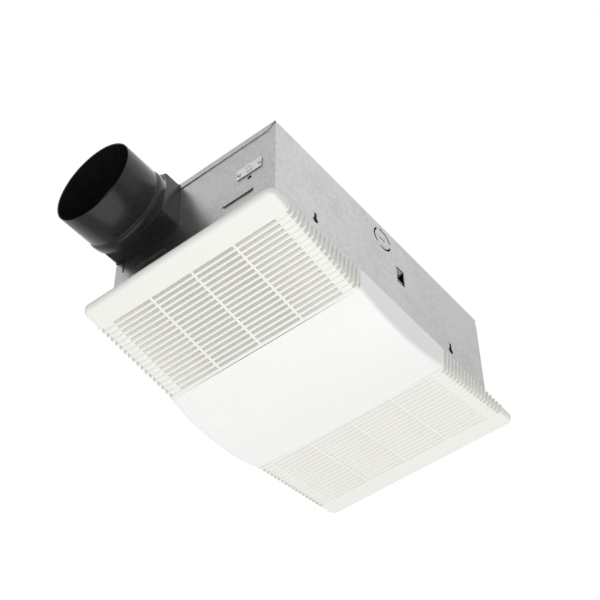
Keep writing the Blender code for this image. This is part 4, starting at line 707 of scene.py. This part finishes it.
@dataclass
class LouvredGrille:
    """White moulded grille: two louvred ends whose slots run on as grooves up the long skirts.

    Each slot is a slit along its duct side and a slanted recess that leads up to it. The ends are
    built on the duct's side, where X is below zero, and mirrored.
    """

    half_length: float = 206.5 * MM
    half_width: float = 124.5 * MM
    rim_depth: float = 6.4 * MM
    slope: float = 0.158
    corner: float = 8.0 * MM
    corner_step: float = 6.0 * MM
    end_round: float = 4.5 * MM
    end_turns: tuple[int, ...] = (4, 15, 30, 45, 60, 75, 90)
    fold: float = 3.0 * MM
    lean: float = 0.09
    wall: float = 2.2 * MM
    rib_proud: float = 1.1 * MM
    rib_rise: float = 0.2 * MM
    groove_floor: float = 121.0 * MM
    groove_width: float = 4.4 * MM
    channel_depth: float = 0.8 * MM
    channel_lap: float = 0.1 * MM
    channel_cut: float = 6.0 * MM
    slots: int = 17
    pitch: float = 6.33 * MM
    slot_width: float = 3.8 * MM
    slit_width: float = 1.9 * MM
    recess: float = 4.8 * MM
    recess_end: float = 0.05 * MM
    recess_cut: float = 9.0 * MM
    first_slot: float = 177.5 * MM
    slot_half: float = 106.0 * MM
    rib: float = 2.8 * MM
    rib_spacing: float = 54.3 * MM
    fin_depth: float = 7.0 * MM
    opening: float = 70.7 * MM
    rail_width: float = 3.5 * MM
    rail_depth: float = 15.0 * MM
    rail_top: float = 0.4 * MM
    rail_lap: float = 4.0 * MM
    lap: float = 1.0 * MM
    soft_edge: float = 0.25 * MM
    cut_low: float = 45.0 * MM
    cut_high: float = 4.0 * MM
    cut_past: float = 8.0 * MM
    lug_x: float = 166.6 * MM
    lug_half: float = 4.0 * MM
    lug_thick: float = 2.0 * MM
    lug_top: float = 4.4 * MM
    lug_sink: float = 0.6 * MM
    peg_root: float = 0.85 * MM
    peg_r: float = 2.7 * MM
    peg_length: float = 10.3 * MM
    peg_z: float = 0.4 * MM

    def depth(self, x: float) -> float:
        """Depth of the face below the ceiling at a place along the grille."""
        return self.rim_depth + self.slope * (self.half_length - abs(x))

    def rib_start(self) -> float:
        """Distance from the middle to the outer side of the first rib."""
        return self.first_slot + self.pitch - self.groove_width / 2

    def station(self, x: float) -> tuple[float, float]:
        """Give the half width and depth at a place, with the rounded end taken off.

        Args:
            x: the place, at or beyond the lens opening on the duct's side.

        Returns:
            Half width and depth.
        """
        inset = self.half_length - abs(x)
        half, depth = self.half_width, self.depth(x)
        if inset < self.corner:
            half -= self.corner - math.sqrt(self.corner ** 2 - (self.corner - inset) ** 2)
        if inset < self.end_round:
            depth -= self.end_round - math.sqrt(self.end_round ** 2 - (self.end_round - inset) ** 2)
        if abs(x) < self.rib_start():
            half += self.rib_proud
        return half, depth

    def loop(self, x: float, half: float, depth: float) -> None:
        """Add a closed section whose sides lean in and whose two lower corners are rounded.

        Args:
            x: its place.
            half: half its width at the ceiling.
            depth: its depth.
        """
        add_rectangle((x, 0, -depth / 2), 2 * half, depth)
        pick(lambda p: abs(p.x - x) < NEAR and p.z < -depth + NEAR)
        narrow = 1 - self.lean * depth / half
        bpy.ops.transform.resize(value=(1, narrow, 1), center_override=(x, 0, -depth))
        bpy.ops.mesh.bevel(offset=min(self.fold, depth / 2), segments=6, affect="VERTICES")

    def blank(self) -> bpy.types.Object:
        """Loft the solid outside of one end.

        Returns:
            The closed blank.
        """
        obj = empty_mesh("grille_end")
        insets = [self.end_round * (1 - math.cos(math.radians(turn))) for turn in self.end_turns]
        insets += [self.corner_step, self.corner]
        places = [inset - self.half_length for inset in insets]
        places += [side * self.rib_rise - self.rib_start() for side in (-1, 1)]
        places.append(-self.opening)
        for x in places:
            self.loop(x, *self.station(x))
        for x in places[1:-1]:
            pick(lambda p: abs(p.x - x) < NEAR, "FACE")
            bpy.ops.mesh.delete(type="ONLY_FACE")
        bridge(places)
        finish_mesh(obj)
        return obj

    def wedges(self) -> list[bpy.types.Object]:
        """Make the two wedges that hollow the end out from above.

        Returns:
            The closed tools, the shallower one over the louvres last.
        """
        half = self.groove_floor - self.wall
        start = -self.half_length + 2 * self.wall
        louvre = -self.first_slot - self.slot_width
        end = -self.opening - self.wall
        made = []
        for low_x, high_x, lift in ((start, louvre, self.wall), (louvre - self.lap, end, self.fin_depth)):
            obj = empty_mesh("grille_core")
            floor = lift - self.depth(low_x)
            add_cube((low_x, -half, floor), (high_x, half, self.cut_past))
            pick(lambda p: abs(p.x - high_x) < NEAR and abs(p.z - floor) < NEAR)
            bpy.ops.transform.translate(value=(0, 0, self.depth(low_x) - self.depth(high_x)))
            for x in (low_x, high_x):
                pick(lambda p: abs(p.x - x) < NEAR and p.z < 0)
                narrow = 1 - self.lean * (self.depth(x) - lift) / half
                bpy.ops.transform.resize(value=(1, narrow, 1), center_override=(x, 0, 0))
            finish_mesh(obj)
            made.append(obj)
        return made

    def columns(self) -> list[tuple[float, float]]:
        """Divide the face into the columns of slots between its ribs.

        Returns:
            Low and high Y of each column.
        """
        edges = [-self.slot_half]
        for k in (-1, 0, 1):
            edges += [k * self.rib_spacing - self.rib / 2, k * self.rib_spacing + self.rib / 2]
        edges.append(self.slot_half)
        return list(zip(edges[::2], edges[1::2]))

    def repeat(self, tool: bpy.types.Object, step: Point) -> bpy.types.Object:
        """Finish the tool of the first slot and repeat it for the others.

        Args:
            tool: the first slot's tool.
            step: the way from one slot to the next.

        Returns:
            The same tool.
        """
        finish_mesh(tool)
        apply_modifier(tool, "ARRAY", count=self.slots, use_relative_offset=False, use_constant_offset=True,
                       constant_offset_displace=step)
        return tool

    def slit_tool(self, side: int) -> bpy.types.Object:
        """Make the slits that go right through, along the duct's side of each slot.

        Args:
            side: -1 for the duct end, 1 for the far end.

        Returns:
            The tool, four boxes for each slot.
        """
        obj = empty_mesh("slit_tool")
        x = side * self.first_slot - self.slot_width / 2
        for low, high in self.columns():
            add_cube((x, low, -self.cut_low), (x + self.slit_width, high, self.cut_high))
        return self.repeat(obj, (-side * self.pitch, 0, 0))

    def recess_tool(self, side: int) -> bpy.types.Object:
        """Make the slanted recesses that lead from the face up into each slit.

        Args:
            side: -1 for the duct end, 1 for the far end.

        Returns:
            The tool, four wedges for each slot.
        """
        obj = empty_mesh("recess_tool")
        low_x = side * self.first_slot - self.slot_width / 2
        high_x = low_x + self.slot_width
        top = self.recess - self.depth(low_x)
        for low, high in self.columns():
            add_cube((low_x, low, top - self.recess_cut), (high_x, high, top))
        pick(lambda p: abs(p.x - high_x) < NEAR and abs(p.z - top) < NEAR)
        bpy.ops.transform.translate(value=(0, 0, self.recess_end - self.depth(high_x) - top))
        return self.repeat(obj, (-side * self.pitch, 0, -self.slope * self.pitch))

    def groove_tool(self) -> bpy.types.Object:
        """Make the straight grooves that leave ribs on both skirts.

        Returns:
            The tool, two boxes for each slot.
        """
        obj = empty_mesh("groove_tool")
        x = -self.first_slot
        for side in (-1, 1):
            near, far = sorted((side * self.groove_floor, side * (self.half_width + self.cut_past)))
            add_cube((x - self.groove_width / 2, near, -self.cut_low),
                     (x + self.groove_width / 2, far, self.cut_high))
        pick(lambda p: abs(p.y) < self.groove_floor + NEAR and p.z < 0)
        narrow = 1 - self.lean * self.cut_low / self.groove_floor
        bpy.ops.transform.resize(value=(1, narrow, 1), center_override=(0, 0, 0))
        return self.repeat(obj, (self.pitch, 0, 0))

    def channel_tool(self) -> bpy.types.Object:
        """Make the shallow channels that join each slot to its grooves over the face's margin.

        Returns:
            The tool, two slanted boxes for each slot.
        """
        obj = empty_mesh("channel_tool")
        low_x, high_x = -self.first_slot - self.slot_width / 2, -self.first_slot + self.slot_width / 2
        top = self.channel_depth - self.depth(low_x)
        for side in (-1, 1):
            near, far = sorted((side * (self.slot_half - self.channel_lap),
                                side * (self.half_width + self.cut_past)))
            add_cube((low_x, near, top - self.channel_cut), (high_x, far, top))
        pick(lambda p: abs(p.x - high_x) < NEAR)
        bpy.ops.transform.translate(value=(0, 0, -self.slope * self.slot_width))
        return self.repeat(obj, (self.pitch, 0, -self.slope * self.pitch))

    def rails(self) -> bpy.types.Object:
        """Make the two side rails behind the lens.

        Returns:
            The closed rails.
        """
        obj = empty_mesh("grille_rails")
        inner = self.groove_floor - self.wall - self.lap
        reach = self.opening + self.rail_lap
        for side in (-1, 1):
            near, far = sorted((side * inner, side * (inner + self.rail_width)))
            add_cube((-reach, near, -self.rail_depth), (reach, far, -self.rail_top))
        finish_mesh(obj)
        return obj

    def lugs(self) -> bpy.types.Object:
        """Make the lug and peg of each end, which carry the springs.

        Returns:
            The closed lugs.
        """
        obj = empty_mesh("spring_lug")
        x = -self.lug_x
        root = self.fin_depth - self.lug_sink - self.depth(x)
        add_cube((x, -self.lug_half, root), (x + self.lug_thick, self.lug_half, self.lug_top))
        middle = (x + self.peg_root - self.peg_length / 2, 0, self.peg_z)
        bpy.ops.mesh.primitive_cylinder_add(vertices=24, radius=self.peg_r, depth=self.peg_length,
                                            location=middle, rotation=(0, math.pi / 2, 0))
        finish_mesh(obj)
        apply_modifier(obj, "MIRROR", use_mirror_merge=False)
        return obj

    def build(self, outfitter: Outfitter) -> None:
        """Hollow and groove one end, mirror it, cut the slots, soften the edges, add lugs and rails.

        Args:
            outfitter: dresses the finished grille.
        """
        grille = self.blank()
        grille.name = "louvred_grille"
        for wedge in self.wedges():
            carve(grille, wedge)
        for tool in (self.groove_tool(), self.channel_tool()):
            carve(grille, tool)
        apply_modifier(grille, "MIRROR", use_mirror_merge=False)
        for side in (-1, 1):
            carve(grille, self.slit_tool(side))
            carve(grille, self.recess_tool(side))
        finish_mesh(grille)
        apply_modifier(grille, "BEVEL", width=self.soft_edge, segments=2, limit_method="ANGLE",
                       angle_limit=math.radians(50), use_clamp_overlap=True)
        join(grille, self.lugs())
        join(grille, self.rails())
        finish_mesh(grille)
        smooth(grille, degrees=35)
        outfitter.fit(grille, WHITE_MOULDED, Body.GRILLE, Slot.WHITE, "grille_frame")


@dataclass
class DuctConnector:
    """Glossy black moulding: block, loft to round, bead, groove and collar."""

    sheet_x: float = -181.0 * MM
    back_x: float = -181.3 * MM
    block_y: float = 65.4 * MM
    block_z: float = 111.0 * MM
    block_width: float = 86.0 * MM
    block_edge: float = 1.0 * MM
    edge_turns: tuple[int, ...] = (0, 25, 50, 75)
    block_height: float = 70.0 * MM
    block_depth: float = 22.7 * MM
    corner: float = 5.0 * MM
    centre_y: float = 66.0 * MM
    collar_z: float = 103.0 * MM
    throat: float = 27.5 * MM
    throat_r: float = 50.4 * MM
    wall: float = 1.2 * MM
    back_wall: float = 2.0 * MM
    back_room: float = 0.6 * MM
    spigot: tuple[float, float, float] = (3.8 * MM, 35.5 * MM, 28.5 * MM)
    spigot_wall: float = 2.0 * MM
    points: int = 96
    rings_mm: tuple[tuple[float, float], ...] = (
        (29.5, 50.75), (32.0, 51.1), (34.5, 51.3), (36.5, 51.2), (37.8, 50.7), (38.7, 49.9), (39.3, 49.2),
        (39.8, 48.95), (40.6, 48.95), (41.2, 49.6), (41.8, 50.1), (42.6, 50.3), (60.0, 50.3), (83.2, 50.3),
        (83.8, 50.1), (84.0, 49.8))

    def ring(self, distance: float, radius: float) -> None:
        """Extrude the open edge to the next ring of the collar.

        Args:
            distance: how far from the wall it lies.
            radius: its radius.
        """
        mesh = bmesh.from_edit_mesh(bpy.context.object.data)
        chosen = [v.co.copy() for v in mesh.verts if v.select]
        middle = sum(chosen, Vector()) / len(chosen)
        now = max((point - middle).length for point in chosen)
        target = self.sheet_x - distance
        bpy.ops.mesh.extrude_edges_move(TRANSFORM_OT_translate={"value": (target - middle.x, 0, 0)})
        scale = radius / now
        centre = (target, self.centre_y, self.collar_z)
        bpy.ops.transform.resize(value=(1, scale, scale), center_override=centre)

    def collar(self) -> None:
        """Draw the round part from the loft's end: bead, groove, collar and the mouth's soft edge."""
        start = (self.sheet_x - self.throat, self.centre_y, self.collar_z)
        bpy.ops.mesh.primitive_circle_add(vertices=self.points, radius=self.throat_r, location=start,
                                          rotation=(0, math.pi / 2, 0))
        for distance, radius in self.rings_mm:
            self.ring(distance * MM, radius * MM)

    def rounded(self, x: float, half_y: float, half_z: float, radius: float) -> None:
        """Add a rounded rectangle of as many points as the collar.

        Args:
            x: its place.
            half_y: half its width.
            half_z: half its height.
            radius: its corners.
        """
        add_rectangle((x, self.block_y, self.block_z), 2 * half_y, 2 * half_z)
        bpy.ops.mesh.select_mode(type="VERT")
        bpy.ops.mesh.bevel(offset=radius, segments=self.points // 4 - 1, affect="VERTICES")
        bpy.ops.mesh.delete(type="ONLY_FACE")

    def build(self, outfitter: Outfitter) -> None:
        """Loft the sections, give them a wall and close the back with its spigot.

        Args:
            outfitter: dresses the finished connector.
        """
        obj = empty_mesh("black_duct_connector")
        self.collar()
        half_y, half_z = self.block_width / 2, self.block_height / 2
        places = [(self.back_x, half_y, half_z, self.corner)]
        front = self.sheet_x - self.block_depth
        for turn in self.edge_turns:
            back = self.block_edge * (1 - math.sin(math.radians(turn)))
            inset = self.block_edge * (1 - math.cos(math.radians(turn)))
            places.append((front + back, half_y - inset, half_z - inset, self.corner))
        for place in places:
            self.rounded(*place)
        bridge([place[0] for place in places] + [self.sheet_x - self.throat])
        finish_mesh(obj)
        self.face_out(obj)
        apply_modifier(obj, "SOLIDIFY", thickness=self.wall, offset=-1.0, use_even_offset=True)
        self.close_back(obj)
        smooth(obj, degrees=40)
        outfitter.fit(obj, BLACK_MOULDED, Body.HOUSING, Slot.BLACK, "duct_connector")

    def face_out(self, obj: bpy.types.Object) -> None:
        """Turn the open tube so that its outside looks away from its axis.

        Args:
            obj: the open tube.
        """
        middle = Vector((0, self.centre_y, self.collar_z))
        outward = 0.0
        for face in obj.data.polygons:
            arm = face.center - middle
            arm.x = 0
            outward += face.normal.dot(arm)
        if outward < 0:
            flip(obj)

    def close_back(self, obj: bpy.types.Object) -> None:
        """Add the back wall of the block with the spigot that enters the housing.

        Args:
            obj: the connector.
        """
        back = self.slab("connector_back", self.block_y, (-self.back_wall, 0), (
            self.block_width / 2 - self.back_room, self.block_height / 2 - self.back_room))
        reach, half_y, half_z = self.spigot
        spigot = self.slab("spigot", self.centre_y, (-self.back_wall / 2, reach), (half_y, half_z))
        carve(back, spigot, "UNION")
        hole = self.slab("spigot_hole", self.centre_y, (-2 * reach, 2 * reach), (
            half_y - self.spigot_wall, half_z - self.spigot_wall))
        carve(back, hole)
        join(obj, back)

    def slab(self, name: str, y: float, reach: tuple[float, float],
             half: tuple[float, float]) -> bpy.types.Object:
        """Make a box across the duct wall, level with the block.

        Args:
            name: its name.
            y: its middle.
            reach: its near and far side, from the block's back.
            half: half its width and half its height.

        Returns:
            The closed box.
        """
        obj = empty_mesh(name)
        add_cube((self.back_x + reach[0], y - half[0], self.block_z - half[1]),
                 (self.back_x + reach[1], y + half[0], self.block_z + half[1]))
        finish_mesh(obj)
        return obj


@dataclass
class SheetHousing:
    """Folded sheet-steel box, with its bends softened and its slits as thin or wide as they look."""

    bend: float = 0.2 * MM
    duct_inside: float = -179 * MM
    side_inside: float = -106.5 * MM
    strips: tuple[tuple[float, float], ...] = ((-59 * MM, 53.5 * MM), (57.5 * MM, 56.5 * MM))
    strip_reach: float = 23 * MM
    strip_half: float = 6.15 * MM
    slit_close: float = 1.2 * MM
    ring_z: float = 124 * MM
    ring_edges: tuple[tuple[float, float], ...] = ((13.4 * MM, 13.0 * MM), (14.6 * MM, 15.2 * MM))

    def close_slits(self, shell: bpy.types.Object) -> None:
        """Draw the two slits of each strip together, as thin as a lanced cut.

        Args:
            shell: the copied shell.
        """
        edit(shell)
        for y, z in self.strips:
            for edge in (-1, 1):
                level = z + edge * self.strip_half
                pick(lambda p: p.x < self.duct_inside and abs(p.y - y) < self.strip_reach
                     and abs(p.z - level) < 0.1 * MM)
                bpy.ops.transform.translate(value=(0, 0, -edge * self.slit_close))
        bpy.ops.object.mode_set(mode="OBJECT")

    def open_ring(self, shell: bpy.types.Object) -> None:
        """Widen the slit round the knockout.

        Args:
            shell: the copied shell.
        """
        edit(shell)
        for old, new in self.ring_edges:
            pick(lambda p: p.y < self.side_inside
                 and abs(math.hypot(p.x, p.z - self.ring_z) - old) < 0.12 * MM)
            bpy.ops.transform.resize(value=(new / old, 1, new / old), center_override=(0, 0, self.ring_z))
        bpy.ops.object.mode_set(mode="OBJECT")

    def build(self, outfitter: Outfitter) -> None:
        """Copy the shell, set its slits, soften its folds and keep the flat sheet's shading even.

        Args:
            outfitter: dresses the finished housing.
        """
        shell = copy_node("housing_shell", "folded_housing")
        self.close_slits(shell)
        self.open_ring(shell)
        apply_modifier(shell, "BEVEL", width=self.bend, segments=2, limit_method="ANGLE",
                       angle_limit=math.radians(60), use_clamp_overlap=True)
        smooth(shell)
        apply_modifier(shell, "WEIGHTED_NORMAL", keep_sharp=True, weight=100)
        outfitter.fit(shell, GALVANISED, Body.HOUSING, Slot.STEEL, "housing_shell")


# Camera, light and stage


@dataclass
class PhotoCamera:
    """Camera fitted to the photograph, for a square frame."""

    place: Point = (-0.8610, -0.6737, -1.1022)
    right: Point = (0.62501, -0.78051, -0.01279)
    up: Point = (-0.57025, -0.46770, 0.67533)
    lens_mm: float = 88.67
    sensor_mm: float = 36.0
    shift: tuple[float, float] = (-0.01229, 0.01076)
    clip: tuple[float, float] = (0.01, 20.0)

    def build(self) -> None:
        """Place the camera and make it the scene's."""
        data = bpy.data.cameras.new("photo_camera")
        data.lens = self.lens_mm
        data.sensor_width = self.sensor_mm
        data.sensor_fit = "HORIZONTAL"
        data.shift_x, data.shift_y = self.shift
        data.clip_start, data.clip_end = self.clip
        camera = bpy.data.objects.new("photo_camera", data)
        bpy.context.scene.collection.objects.link(camera)
        right, up = Vector(self.right), Vector(self.up)
        turn = Matrix((right, up, right.cross(up))).transposed().to_4x4()
        camera.matrix_world = Matrix.Translation(self.place) @ turn
        bpy.context.scene.camera = camera


@dataclass(frozen=True)
class SoftLamp:
    """Square lamp aimed at the object; its place and side are in metres, its power in watts."""

    name: str
    place: Point
    side: float
    power: float

    def build(self) -> None:
        """Add the lamp to the scene."""
        data = bpy.data.lights.new(self.name, "AREA")
        data.size = self.side
        data.energy = self.power
        lamp = bpy.data.objects.new(self.name, data)
        lamp.location = self.place
        lamp.rotation_euler = (-Vector(self.place)).to_track_quat("-Z", "Y").to_euler()
        bpy.context.scene.collection.objects.link(lamp)


@dataclass
class Studio:
    """Plain white surroundings with soft lamps, one below the object and two above it."""

    ambient: float = 0.54
    floor_z: float = -1.9
    floor_side: float = 12.0
    lamps: tuple[SoftLamp, ...] = (
        SoftLamp("key", (-0.1, -0.15, -1.6), 2.2, 19.0),
        SoftLamp("fill", (0.2, -1.3, 1.7), 2.2, 4.5),
        SoftLamp("top", (0.9, 0.9, 1.9), 1.6, 5.0))

    def build(self) -> None:
        """Set up the world, the lamps, the floor and the view settings."""
        self.world()
        for lamp in self.lamps:
            lamp.build()
        self.floor()
        bpy.context.scene.view_settings.view_transform = "Standard"

    def world(self) -> None:
        """Light the object evenly, and show white to the camera, to metal and to glass."""
        world = bpy.data.worlds.new("studio")
        world.use_nodes = True
        tree = world.node_tree
        tree.nodes.clear()
        path = add_node(tree, "ShaderNodeLightPath")
        seen = add_node(tree, "ShaderNodeMath", {"operation": "MAXIMUM"}, {
            0: path.outputs["Is Camera Ray"], 1: path.outputs["Is Glossy Ray"]})
        seen = add_node(tree, "ShaderNodeMath", {"operation": "MAXIMUM"}, {
            0: seen.outputs["Value"], 1: path.outputs["Is Transmission Ray"]})
        soft, white = (
            add_node(tree, "ShaderNodeBackground", inputs={"Color": (1, 1, 1, 1), "Strength": strength})
            for strength in (self.ambient, 1.0))
        mix = add_node(tree, "ShaderNodeMixShader", inputs={
            0: seen.outputs["Value"], 1: soft.outputs["Background"], 2: white.outputs["Background"]})
        add_node(tree, "ShaderNodeOutputWorld", inputs={"Surface": mix.outputs["Shader"]})
        bpy.context.scene.world = world

    def floor(self) -> None:
        """Lay the pale floor well below the hanging object."""
        deselect()
        bpy.ops.mesh.primitive_plane_add(size=self.floor_side, location=(0, 0, self.floor_z))
        floor = bpy.context.object
        floor.name = "floor"
        material = bpy.data.materials.new("matt white floor paint")
        material.use_nodes = True
        shader = material.node_tree.nodes["Principled BSDF"]
        shader.inputs["Base Color"].default_value = linear("F4F4F2")
        shader.inputs["Roughness"].default_value = 0.9
        floor.data.materials.append(material)


def main() -> None:
    """Build every sub-assembly in order, then the camera and the studio."""
    logging.basicConfig(level=logging.INFO, format="%(message)s")
    paint = PaintShop()
    paint.dress_nodes()
    outfitter = Outfitter(paint)
    for builder in (SheetHousing(), DuctConnector(), LouvredGrille(), LensCover()):
        builder.build(outfitter)
    PhotoCamera().build()
    Studio().build()
    deselect()


if __name__ == "__main__":
    main()
